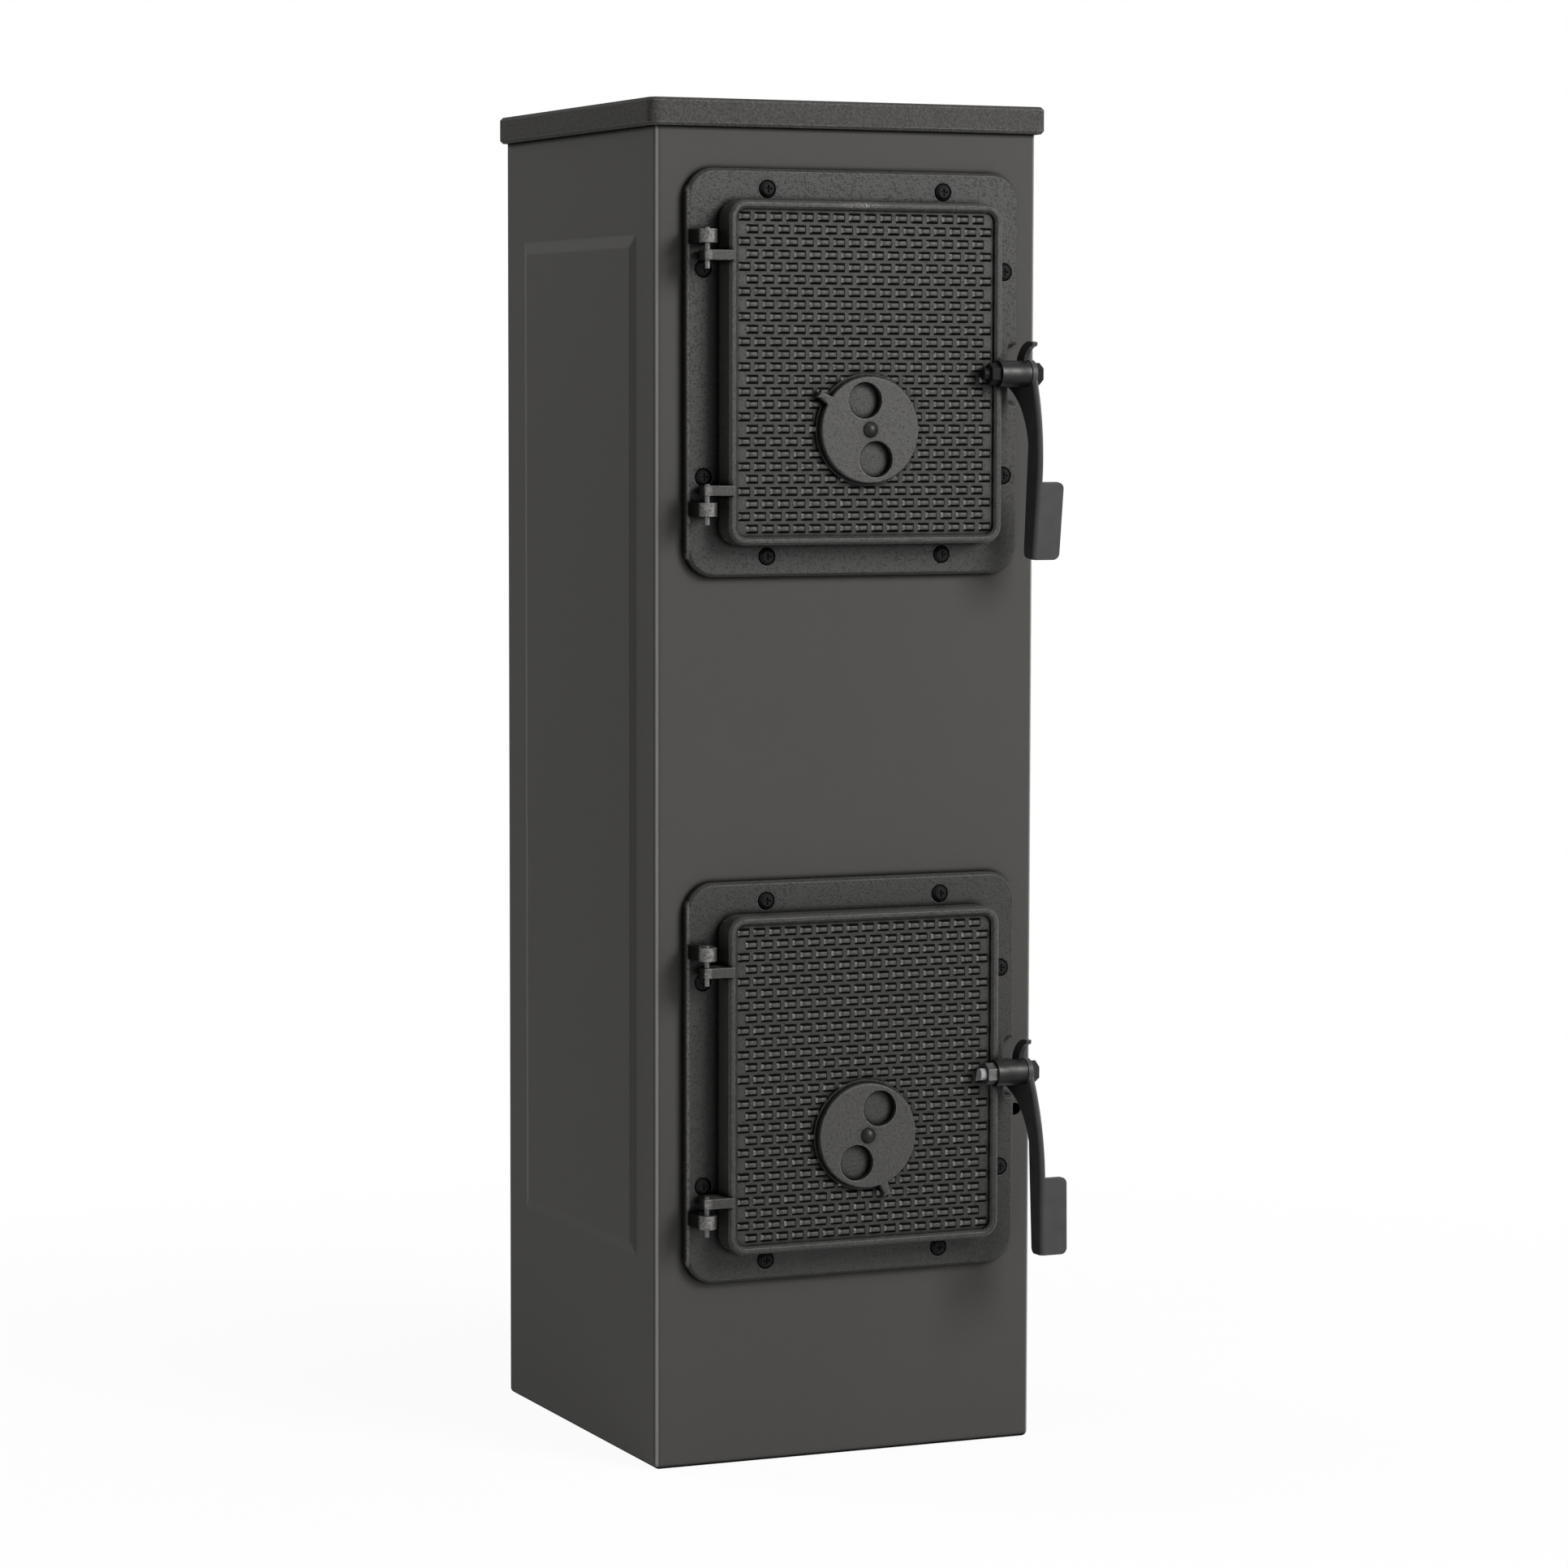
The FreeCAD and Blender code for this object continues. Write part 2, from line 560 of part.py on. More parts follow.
def door_frame(side):
    """Cast frame plate with hinge lugs on the left and the latch notch on the right."""
    level = f"{side}_level"
    piece = Piece(f"{side}_frame")
    plate = piece.sketch("front", FRONT)
    rectangle(plate, "doorway_shift - frame_width / 2", f"{level} - frame_height / 2",
              "doorway_shift + frame_width / 2", f"{level} + frame_height / 2")
    piece.pad(plate, "frame_thick")
    piece.fillet("frame_corner", piece.edges("y"))
    notch = piece.sketch("front", PLATE)
    rectangle(notch, "doorway_shift + frame_width / 2 - notch_depth", f"{level} - notch_height / 2",
              "doorway_shift + frame_width / 2 + notch_depth", f"{level} + notch_height / 2")
    piece.pocket(notch, "frame_thick")
    notch_x = size("doorway_shift") + size("frame_width") / 2 - size("notch_depth")
    piece.fillet("notch_corner", piece.edges("y", x=notch_x))
    front = -size("body_depth") / 2 - size("frame_thick")
    piece.chamfer("frame_edge", piece.edges(y=front))

    spigot = piece.sketch("front", FRONT)
    rectangle(spigot, "doorway_shift - opening_width / 2 - spigot_wall",
              f"{level} - opening_height / 2 - spigot_wall",
              "doorway_shift + opening_width / 2 + spigot_wall",
              f"{level} + opening_height / 2 + spigot_wall")
    piece.pad(spigot, "spigot_depth", backwards=True)
    opening = piece.sketch("front", PLATE)
    rectangle(opening, "doorway_shift - opening_width / 2", f"{level} - opening_height / 2",
              "doorway_shift + opening_width / 2", f"{level} + opening_height / 2")
    piece.pocket(opening, None)
    for edge in (LEFT, RIGHT):
        opening_x = size("doorway_shift") + edge * size("opening_width") / 2
        piece.fillet("opening_corner", piece.edges("y", x=opening_x))

    for end in "+-":
        foot = f"{level} {end} lug_level - lug_thick / 2"
        arm = piece.sketch("top", foot)
        rectangle(arm, f"{PIN_X} - lug_radius", PIN_Y, f"{PIN_X} + lug_radius",
                  "-body_depth / 2 - frame_thick / 2")
        piece.pad(arm, "lug_thick")
        knuckle = piece.sketch("top", foot)
        circle(knuckle, PIN_X, PIN_Y, "lug_radius")
        piece.pad(knuckle, "lug_thick")
    bores = piece.sketch("top", f"{level} + frame_height / 2")
    circle(bores, PIN_X, PIN_Y, "pin_radius + pin_seat_gap")
    piece.pocket(bores, None)

    recesses = piece.sketch("front", PLATE)
    holes = piece.sketch("front", PLATE)
    for x, z in screw_places(level):
        circle(recesses, x, z, "screw_recess_radius")
        circle(holes, x, z, "screw_radius + screw_play")
    piece.pocket(recesses, "screw_recess_depth")
    piece.pocket(holes, "frame_thick")
    return piece.body


def frame_screw():
    """Pan-head screw with a cross recess; its seat is at the origin and its shank runs back."""
    forwards, backwards = Vector(0, -1, 0), Vector(0, 1, 0)
    foot = "(screw_head_height - screw_head_edge)"
    head = cylinder("frame_screw_head", "screw_head_radius", foot, direction=forwards)
    crown = doc.addObject("Part::Cone", "frame_screw_crown")
    bind(crown, "Radius1", "screw_head_radius")
    bind(crown, "Radius2", "screw_head_radius - screw_head_edge")
    bind(crown, "Height", "screw_head_edge")
    crown.Placement = Placement(Vector(), Rotation(Vector(0, 0, 1), forwards))
    place(crown, y=f"-{foot}")
    shank = cylinder("frame_screw_shank", "screw_radius",
                     "frame_thick - screw_recess_depth + sheet_thick + nut_thick + screw_end",
                     direction=backwards)
    blank = fuse("frame_screw_blank", head, crown, shank)
    arms = [box(f"frame_screw_cross_{number}", length, "screw_cross_depth", height,
                f"-({length}) / 2", "-screw_head_height", f"-({height}) / 2")
            for number, (length, height) in enumerate((("screw_head_radius", "screw_cross"),
                                                       ("screw_cross", "screw_head_radius")))]
    return cut("frame_screw", blank, *arms)


def frame_nut():
    """Hexagon nut; its bearing face is at the origin and it runs back."""
    backwards = Vector(0, 1, 0)
    blank = hexagon("frame_nut_blank", "nut_flats", "nut_thick", direction=backwards)
    bore = cylinder("frame_nut_bore", "screw_radius + thread_gap", "nut_thick", direction=backwards)
    return cut("frame_nut", blank, bore)


def hinge_pins(side):
    """The two pins of a door: one through the upper lug and ear, one through the lower."""
    level = f"{side}_level"
    top = f"{level} + lug_level + lug_thick / 2 + pin_top - pin_length"
    bottom = f"{level} - ear_level + ear_thick / 2 + pin_top - pin_length"
    pattern = doc.getObject("hinge_pin") or cylinder("hinge_pin", "pin_radius", "pin_length")
    return copies(f"{side}_hinge_pins", pattern, ((PIN_X, PIN_Y, top), (PIN_X, PIN_Y, bottom)))


# Doors

def door(side):
    """Cast door: rim, recessed panel, damper seat, hollow back, hinge ears and the latch's lug."""
    level = f"{side}_level"
    piece = Piece(f"{side}_door")
    outline = piece.sketch("front", DOOR_BACK)
    rectangle(outline, "doorway_shift - door_width / 2", f"{level} - door_height / 2",
              "doorway_shift + door_width / 2", f"{level} + door_height / 2")
    piece.pad(outline, "door_depth")
    piece.fillet("door_corner", piece.edges("y"))
    recess = piece.sketch("front", DOOR_FRONT)
    rectangle(recess, "doorway_shift - door_width / 2 + rim_width", f"{level} - door_height / 2 + rim_width",
              "doorway_shift + door_width / 2 - rim_width", f"{level} + door_height / 2 - rim_width")
    piece.pocket(recess, "panel_drop")
    for edge in (LEFT, RIGHT):
        recess_x = size("doorway_shift") + edge * (size("door_width") / 2 - size("rim_width"))
        piece.fillet("door_corner - rim_width", piece.edges("y", x=recess_x))
    front = -(size("body_depth") / 2 + size("frame_thick") + size("door_gap") + size("door_depth"))
    piece.chamfer("door_edge", piece.edges(y=front))

    hollow = piece.sketch("front", f"{PANEL} - panel_thick")
    rectangle(hollow, "doorway_shift - door_width / 2 + door_wall", f"{level} - door_height / 2 + door_wall",
              "doorway_shift + door_width / 2 - door_wall", f"{level} + door_height / 2 - door_wall")
    piece.pocket(hollow, None)
    groove = piece.sketch("front", f"{DOOR_BACK} + seal_depth")
    for inset in ("seal_inset", "(seal_inset + seal_width)"):
        rectangle(groove, f"doorway_shift - door_width / 2 + {inset}", f"{level} - door_height / 2 + {inset}",
                  f"doorway_shift + door_width / 2 - {inset}", f"{level} + door_height / 2 - {inset}")
    piece.pocket(groove, None)

    seat = piece.sketch("front", PANEL)
    circle(seat, "doorway_shift", f"{level} - damper_drop", "damper_seat_radius")
    piece.pad(seat, "tread_rise")

    for end in "+-":
        foot = f"{level} {end} ear_level - ear_thick / 2"
        ear = piece.sketch("top", foot)
        rectangle(ear, PIN_X, f"{PIN_Y} - ear_radius", "doorway_shift - door_width / 2 + rim_width / 2",
                  f"{PIN_Y} - ear_radius + ear_depth")
        piece.pad(ear, "ear_thick")
        tip = piece.sketch("top", foot)
        circle(tip, PIN_X, PIN_Y, "ear_radius")
        piece.pad(tip, "ear_thick")
    bores = piece.sketch("top", f"{level} + door_height / 2")
    circle(bores, PIN_X, PIN_Y, "pin_radius + pin_play")
    piece.pocket(bores, None)

    lug = piece.sketch("side", f"{BARREL_X} + barrel_length - latch_lug_end")
    rectangle(lug, LATCH_Y, f"{level} - latch_lug_height / 2", f"{LATCH_Y} + barrel_radius * 2",
              f"{level} + latch_lug_height / 2")
    piece.pad(lug, "barrel_length - latch_lug_end - barrel_left + rim_width / 2", backwards=True)
    barrel = piece.sketch("side", f"{LEVER_X} + lever_thick")
    circle(barrel, LATCH_Y, level, "barrel_radius + barrel_gap")
    piece.pocket(barrel, "lever_thick + lever_gap + barrel_length + bolt_nut_thick + bolt_end + barrel_gap")

    inlets = piece.sketch("front", DOOR_FRONT)
    for hand in "+-":
        circle(inlets, f"doorway_shift {hand} damper_hole_circle", f"{level} - damper_drop", "inlet_radius")
    circle(inlets, "doorway_shift", f"{level} - damper_drop", "rivet_radius + barrel_gap")
    piece.pocket(inlets, None)
    return piece.body


def door_seal(side):
    """Rope ring in the door's back groove."""
    level = f"{side}_level"
    piece = Piece(f"{side}_door_seal")
    ring = piece.sketch("front", f"{DOOR_BACK} - seal_proud")
    for inset in ("(seal_inset + seal_gap)", "(seal_inset + seal_width - seal_gap)"):
        rectangle(ring, f"doorway_shift - door_width / 2 + {inset}", f"{level} - door_height / 2 + {inset}",
                  f"doorway_shift + door_width / 2 - {inset}", f"{level} + door_height / 2 - {inset}")
    piece.pad(ring, "seal_depth + seal_proud - seal_gap")
    return piece.body


# Dampers

def damper(side):
    """Air disc with two holes and a thumb tab, turned to where the photo shows it."""
    piece = Piece(f"{side}_damper")
    disc = piece.sketch("front")
    circle(disc, "0", "0", "damper_radius")
    piece.pad(disc, "damper_thick")
    tab = piece.sketch("front")
    ahead, aside = "cos(damper_tab_angle)", "sin(damper_tab_angle)"
    half_outline = (("damper_radius - damper_tab_root", "damper_tab_root / 2"),
                    ("damper_tab_reach - damper_tab_bead", "damper_tab_neck / 2"),
                    ("damper_tab_reach", "damper_tab_tip / 2"))
    corners = [(out, f"(-{step})") for out, step in half_outline]
    corners += [(out, f"({step})") for out, step in reversed(half_outline)]
    polygon(tab, [(f"({out}) * {ahead} - {step} * {aside}", f"({out}) * {aside} + {step} * {ahead}")
                  for out, step in corners])
    piece.pad(tab, "damper_thick")
    piece.chamfer("damper_edge", piece.edges(y=-size("damper_thick")))
    holes = piece.sketch("front", "damper_thick")
    for hand in "+-":
        circle(holes, f"{hand} damper_hole_circle", "0", "damper_hole_radius")
    circle(holes, "0", "0", "rivet_radius + rivet_play")
    piece.pocket(holes, None)
    piece.body.Placement = Placement(Vector(), Rotation(Vector(0, -1, 0), 0))
    bind(piece.body, "Placement.Rotation.Angle", f"{side}_damper_turn")
    return place(piece.body, "doorway_shift", f"-({PANEL} + tread_rise + damper_gap)",
                 f"{side}_level - damper_drop")


def damper_rivet(side):
    """Dome rivet through disc and panel, closed behind the panel."""
    spot = ("doorway_shift", f"{side}_level - damper_drop")
    forwards = Vector(0, -1, 0)
    tail_y = f"-({PANEL} - panel_thick) + rivet_tail_height"
    head_y = f"-({PANEL} + tread_rise + damper_gap * 2 + damper_thick)"
    tail = cylinder(f"{side}_rivet_tail", "rivet_tail_radius", "rivet_tail_height",
                    spot[0], tail_y, spot[1], forwards)
    shank = cylinder(f"{side}_rivet_shank", "rivet_radius",
                     "panel_thick + tread_rise + damper_gap * 2 + damper_thick + rivet_tail_height",
                     spot[0], tail_y, spot[1], forwards)
    ball_radius = "((rivet_head_radius ^ 2 + rivet_head_height ^ 2) / (2 * rivet_head_height))"
    ball = doc.addObject("Part::Sphere", f"{side}_rivet_ball")
    bind(ball, "Radius", ball_radius)
    place(ball, spot[0], f"{head_y} - rivet_head_height + {ball_radius}", spot[1])
    dome = doc.addObject("Part::Common", f"{side}_rivet_dome")
    dome.Base = ball
    dome.Tool = cylinder(f"{side}_rivet_cap", "rivet_head_radius * 2", "rivet_head_height * 2",
                         spot[0], head_y, spot[1], forwards)
    return fuse(f"{side}_damper_rivet", tail, shank, dome)


# Latches

def latch_barrel(side):
    """Steel sleeve that the latch bolt runs through."""
    right = Vector(1, 0, 0)
    spot = (BARREL_X, LATCH_Y, f"{side}_level")
    sleeve = cylinder(f"{side}_barrel_sleeve", "barrel_radius", "barrel_length", *spot, right)
    bore = cylinder(f"{side}_barrel_bore", "bolt_radius + barrel_gap", "barrel_length", *spot, right)
    return cut(f"{side}_latch_barrel", sleeve, bore)


def latch_bolt(side):
    """Hexagon bolt: head beyond the lever, shank through lever, barrel and nut."""
    right = Vector(1, 0, 0)
    level = f"{side}_level"
    start = f"{BARREL_X} - bolt_nut_thick - bolt_end"
    head_x = f"{LEVER_X} + lever_thick + lever_gap"
    shank = cylinder(f"{side}_bolt_shank", "bolt_radius",
                     "bolt_end + bolt_nut_thick + barrel_length + lever_gap * 2 + lever_thick",
                     start, LATCH_Y, level, right)
    head = hexagon(f"{side}_bolt_head", "bolt_flats", "bolt_head_thick", head_x, LATCH_Y, level, right)
    return fuse(f"{side}_latch_bolt", shank, head)


def latch_nut(side):
    """Hexagon nut on the bolt's inner end, against the barrel."""
    right = Vector(1, 0, 0)
    spot = (f"{BARREL_X} - bolt_nut_thick", LATCH_Y, f"{side}_level")
    blank = hexagon(f"{side}_nut_blank", "bolt_flats", "bolt_nut_thick", *spot, right)
    bore = cylinder(f"{side}_nut_bore", "bolt_radius + thread_gap", "bolt_nut_thick", *spot, right)
    return cut(f"{side}_latch_nut", blank, bore)


def polar(radius, degrees):
    """A point of the lever's plane, from the bolt: angles run from straight back to straight up."""
    turn = math.radians(degrees)
    return Vector(0, radius * math.cos(turn), radius * math.sin(turn))


def lever_outline():
    """The lever's edge: hub, horn over the bolt, nose behind it and the arm down to the grip."""
    hub, inner, blunt = size("lever_hub_radius"), size("horn_inner"), size("horn_blunt")
    outer_root, outer_tip = size("horn_root_outer"), size("horn_tip_outer")
    root, inner_root, tip = size("horn_root_angle"), size("horn_inner_angle"), size("horn_tip_angle")
    hub_back, hub_front = size("hub_back_angle"), size("hub_front_angle")
    horn_root, horn_tip = polar(outer_root, root), polar(outer_tip, tip)
    horn_back = polar((outer_root + outer_tip) / 2, (root + tip) / 2)
    horn_start, horn_end = polar(inner, inner_root), polar(outer_tip - blunt, tip)
    horn_inside = polar((inner + outer_tip - blunt) / 2, (inner_root + tip) / 2)
    throat = polar((hub + inner) / 2, size("throat_angle"))

    half = size("lever_thick") / 2
    nose = Vector(0, size("lever_nose_reach"), -size("lever_nose_drop"))
    nose_top = nose + Vector(0, 0, 2 * half)
    nose_end = nose + Vector(0, half / 2, half)
    waist_back = Vector(0, size("lever_waist_back"), -size("lever_waist_drop"))
    waist_front = Vector(0, -size("lever_waist_front"), -size("lever_waist_drop"))
    below = waist_back - nose
    inwards = Vector(0, below.z, -below.y).normalize()
    hollow = (nose + waist_back) / 2 + inwards * size("nose_hollow")

    lean, corner = math.radians(size("grip_tilt")), size("grip_corner")
    down = Vector(0, math.sin(lean), -math.cos(lean))
    across = Vector(0, math.cos(lean), math.sin(lean))
    grip_top = Vector(0, -size("grip_front"), -size("grip_top"))
    foot_front = grip_top + down * size("grip_height")
    foot_back = foot_front + across * size("arm_width")
    foot_turn = foot_back + (down + across) * corner * (math.sqrt(0.5) - 1)
    edges = [
        Part.Arc(horn_tip, horn_back, horn_root),
        Part.LineSegment(horn_root, nose_top),
        Part.Arc(nose_top, nose_end, nose),
        Part.Arc(nose, hollow, waist_back),
        Part.LineSegment(waist_back, foot_back - down * corner),
        Part.Arc(foot_back - down * corner, foot_turn, foot_back - across * corner),
        Part.LineSegment(foot_back - across * corner, foot_front),
        Part.LineSegment(foot_front, grip_top),
        Part.Arc(grip_top, waist_front, polar(hub, hub_front)),
        Part.Arc(polar(hub, hub_front), polar(hub, (hub_front + hub_back) / 2), polar(hub, hub_back)),
        Part.Arc(polar(hub, hub_back), throat, horn_start),
        Part.Arc(horn_start, horn_inside, horn_end),
        Part.LineSegment(horn_end, horn_tip),
    ]
    return Part.Wire([edge.toShape() for edge in edges])


def lever_shape():
    """The lever about the bolt's axis: a flat plate with a grip bent to the right along its front edge."""
    thick = size("lever_thick")
    plate = Part.Face(lever_outline()).extrude(Vector(thick, 0, 0))
    grip = Part.makeBox(size("grip_width"), thick, size("grip_height"), Vector(0, 0, -size("grip_height")))
    free = [edge for edge in grip.Edges
            if edge.BoundBox.XMin > size("grip_width") - NEAR and edge.BoundBox.YLength > NEAR]
    grip = grip.makeFillet(size("grip_corner"), free)
    grip.rotate(Vector(), Vector(1, 0, 0), size("grip_tilt"))
    grip.translate(Vector(0, -size("grip_front"), -size("grip_top")))
    bent = plate.fuse(grip).removeSplitter()
    lean = math.radians(size("grip_tilt"))
    fold = [edge for edge in bent.Edges
            if edge.BoundBox.XMax < NEAR and abs(edge.Length - size("grip_height")) < thick
            and abs(edge.tangentAt(edge.FirstParameter).y) < math.sin(lean) + NEAR
            and edge.CenterOfMass.y < -size("grip_front") / 2]
    bent = bent.makeFillet(size("grip_bend"), fold)
    bore = Part.makeCylinder(size("bolt_radius") + size("bolt_play"), 3 * thick, Vector(-thick, 0, 0),
                             Vector(1, 0, 0))
    return bent.cut(bore)


def latch_lever(side, turn):
    """The lever at its bolt, turned forwards by an angle."""
    made = shaped(f"{side}_latch_lever", lever_shape())
    made.Placement = Placement(Vector(), Rotation(Vector(-1, 0, 0), 0))
    bind(made, "Placement.Rotation.Angle", turn)
    return place(made, LEVER_X, LATCH_Y, f"{side}_level")


# Fire chamber, ash pan and flue

def ash_shelf():
    """Flanged sheet that the ash pan stands on."""
    piece = Piece("ash_shelf")
    outline = piece.sketch("top", "shelf_level - shelf_flange")
    rectangle(outline, f"-{INSIDE_X}", INSIDE_FRONT, INSIDE_X, INSIDE_BACK)
    piece.pad(outline, "shelf_flange")
    below = piece.sketch("top", "shelf_level - shelf_flange")
    rectangle(below, f"sheet_thick - {INSIDE_X}", f"{INSIDE_FRONT} - sheet_thick",
              f"{INSIDE_X} - sheet_thick", f"{INSIDE_BACK} + sheet_thick")
    piece.pocket(below, "shelf_flange - sheet_thick", backwards=True)
    return piece.body


def ash_pan():
    """Open sheet pan with a flanged lip."""
    half = "(pan_width / 2)"
    front = f"({INSIDE_FRONT} + pan_lip)"
    piece = Piece("ash_pan")
    outline = piece.sketch("top", "shelf_level")
    rectangle(outline, f"doorway_shift - {half} + pan_lip", front, f"doorway_shift + {half} - pan_lip",
              f"{front} + pan_length")
    piece.pad(outline, "pan_height")
    piece.fillet("pan_lip / 2", piece.edges("z") + piece.edges(z=size("shelf_level")))
    lip = piece.sketch("top", "shelf_level + pan_height - pan_sheet")
    rectangle(lip, f"doorway_shift - {half}", front, f"doorway_shift + {half}", f"{front} + pan_length")
    piece.pad(lip, "pan_sheet")
    hollow = piece.sketch("top", "shelf_level + pan_height")
    rectangle(hollow, f"doorway_shift - {half} + pan_lip + pan_sheet", f"{front} + pan_sheet",
              f"doorway_shift + {half} - pan_lip - pan_sheet", f"{front} + pan_length - pan_sheet")
    piece.pocket(hollow, "pan_height - pan_sheet")
    return piece.body


def ash_pan_handle():
    """Strip handle, bent to a U, on the front of the ash pan."""
    piece = Piece("ash_pan_handle")
    root = f"({INSIDE_FRONT} + pan_lip)"
    bow = piece.sketch("top", "shelf_level + pan_height - handle_drop")
    left, right = "doorway_shift - handle_width / 2", "doorway_shift + handle_width / 2"
    tip = f"{root} - handle_reach"
    polygon(bow, ((left, root), (left, tip), (right, tip), (right, root), (f"{right} - handle_thick", root),
                  (f"{right} - handle_thick", f"{tip} + handle_thick"),
                  (f"{left} + handle_thick", f"{tip} + handle_thick"), (f"{left} + handle_thick", root)))
    piece.pad(bow, "handle_strip", backwards=True)
    front = -size("body_depth") / 2 + size("sheet_thick") + size("inside_front") + size("pan_lip")
    out = front - size("handle_reach")
    piece.fillet("handle_thick * 2", piece.edges("z", y=out))
    piece.fillet("handle_thick", piece.edges("z", y=out + size("handle_thick")))
    return piece.body


def grate_ledge():
    """Ring of flat bar, welded inside the casing, that carries grate and firebricks."""
    foot = "grate_level - ledge_thick"
    plate = box("ledge_plate", f"{INSIDE_X} * 2", f"{INSIDE_BACK} - {INSIDE_FRONT}", "ledge_thick",
                f"-{INSIDE_X}", INSIDE_FRONT, foot)
    middle = box("ledge_middle", f"({INSIDE_X} - ledge_width) * 2",
                 f"{INSIDE_BACK} - ledge_width - {INSIDE_FRONT} - ledge_front", "ledge_thick",
                 f"ledge_width - {INSIDE_X}", f"{INSIDE_FRONT} + ledge_front", foot)
    return cut("grate_ledge", plate, middle)


def grate():
    """Cast grate with a row of slots from front to back."""
    piece = Piece("grate")
    half = f"({INSIDE_X} - ledge_width + grate_lap)"
    front = f"({INSIDE_FRONT} + ledge_front - grate_lap)"
    back = f"({INSIDE_BACK} - ledge_width + grate_lap)"
    outline = piece.sketch("top", "grate_level")
    rectangle(outline, f"-{half}", front, half, back)
    piece.pad(outline, "grate_thick")
    slot = piece.sketch("top", "grate_level + grate_thick")
    rectangle(slot, f"grate_border - {half}", f"{front} + grate_border",
              f"grate_border - {half} + grate_slot_width", f"{back} - grate_border")
    first = piece.pocket(slot, "grate_thick")
    row = piece.body.newObject("PartDesign::LinearPattern", "grate_row")
    row.Originals = [first]
    row.Direction = (slot, ["H_Axis"])
    bind(row, "Length", f"{half} * 2 - grate_border * 2 - grate_slot_width")
    bind(row, "Occurrences", "grate_slots")
    piece.body.Tip = row
    doc.recompute()
    return piece.body


def lining():
    """Firebricks round the fire: left, right, back and front, the front one on its own angle."""
    outer = f"({INSIDE_X} - fit_gap)"
    inner = f"({outer} - lining_thick)"
    deep = f"({INSIDE_BACK} - fit_gap - {INSIDE_FRONT})"
    nodes = [
        box("firebrick_left", "lining_thick", deep, "lining_height",
            f"-{outer}", INSIDE_FRONT, "grate_level"),
        box("firebrick_right", "lining_thick", deep, "lining_height", inner, INSIDE_FRONT, "grate_level"),
        box("firebrick_back", f"{inner} * 2 - fit_gap * 2", "lining_thick", "lining_height",
            f"fit_gap - {inner}", f"{INSIDE_BACK} - fit_gap - lining_thick", "grate_level"),
        box("firebrick_front", f"{inner} * 2 - fit_gap * 2", "lining_thick", "front_brick_height",
            f"fit_gap - {inner}", "sheet_thick + brick_shelf_thick + fit_gap * 2 - body_depth / 2",
            "front_brick_bottom"),
    ]
    floor = box("brick_shelf_floor", f"{inner} * 2 - fit_gap * 2", "lining_thick", "brick_shelf_thick",
                f"fit_gap - {inner}", "sheet_thick - body_depth / 2",
                "front_brick_bottom - brick_shelf_thick")
    wall = box("brick_shelf_wall", f"{inner} * 2 - fit_gap * 2", "brick_shelf_thick", "lining_thick",
               f"fit_gap - {inner}", "sheet_thick - body_depth / 2", "front_brick_bottom - brick_shelf_thick")
    nodes.append(fuse("front_brick_shelf", floor, wall))
    return nodes


def flue_collar():
    """Pipe stub that stands on its flange."""
    piece = Piece("flue_collar")
    pipe = piece.sketch("front", f"-{FRONT} - flue_flange_thick")
    circle(pipe, "0", "flue_level", "flue_radius")
    circle(pipe, "0", "flue_level", "flue_radius - flue_wall")
    piece.pad(pipe, "flue_length", backwards=True)
    return piece.body


def flue_flange():
    """Ring under the pipe stub, screwed to the back panel."""
    piece = Piece("flue_flange")
    ring = piece.sketch("front", f"-{FRONT}")
    circle(ring, "0", "flue_level", "flue_flange_radius")
    circle(ring, "0", "flue_level", "flue_radius - flue_wall")
    for x, z in flue_screw_places():
        circle(ring, x, z, "screw_radius + screw_play")
    piece.pad(ring, "flue_flange_thick", backwards=True)
    return piece.body


def flue_screw_places():
    """Four screws round the flue, as pairs of formulas across and up."""
    step = "flue_screw_circle / sqrt(2)"
    return [(f"{side} {step}", f"flue_level {end} {step}") for side in "+-" for end in "+-"]


def flue_collar_screws():
    """Hexagon screws that hold the flue collar to the back panel."""
    inwards = Vector(0, -1, 0)
    head = hexagon("flue_screw_head", "nut_flats", "screw_head_height", y="screw_head_height",
                   direction=inwards)
    shank = cylinder("flue_screw_shank", "screw_radius", "flue_flange_thick + sheet_thick + screw_end",
                     direction=inwards)
    pattern = fuse("flue_screw", head, shank)
    return copies("flue_collar_screws", pattern,
                  [(x, f"{FRONT} + flue_flange_thick", z) for x, z in flue_screw_places()])


def finished(node):
    """A node's solid; a body's is its last feature's, put where the body is."""
    if not node.isDerivedFrom("PartDesign::Body"):
        return node.Shape
    shape = node.Tip.Shape.copy()
    shape.Placement = node.Placement.multiply(shape.Placement)
    return shape


def export(nodes):
    """Check every object and write one file for each sub-part."""
    doc.recompute()
    for thing in doc.Objects:
        if any(word in thing.State for word in ("Invalid", "Error")):
            raise ValueError(f"{thing.Label} failed: {thing.State}")
    os.makedirs("parts", exist_ok=True)
    for node in nodes:
        shape = finished(node)
        if shape.isNull() or not shape.isValid():
            raise ValueError(f"{node.Label} has no valid shape")
        shape.exportStep(f"parts/{node.Label}.step")


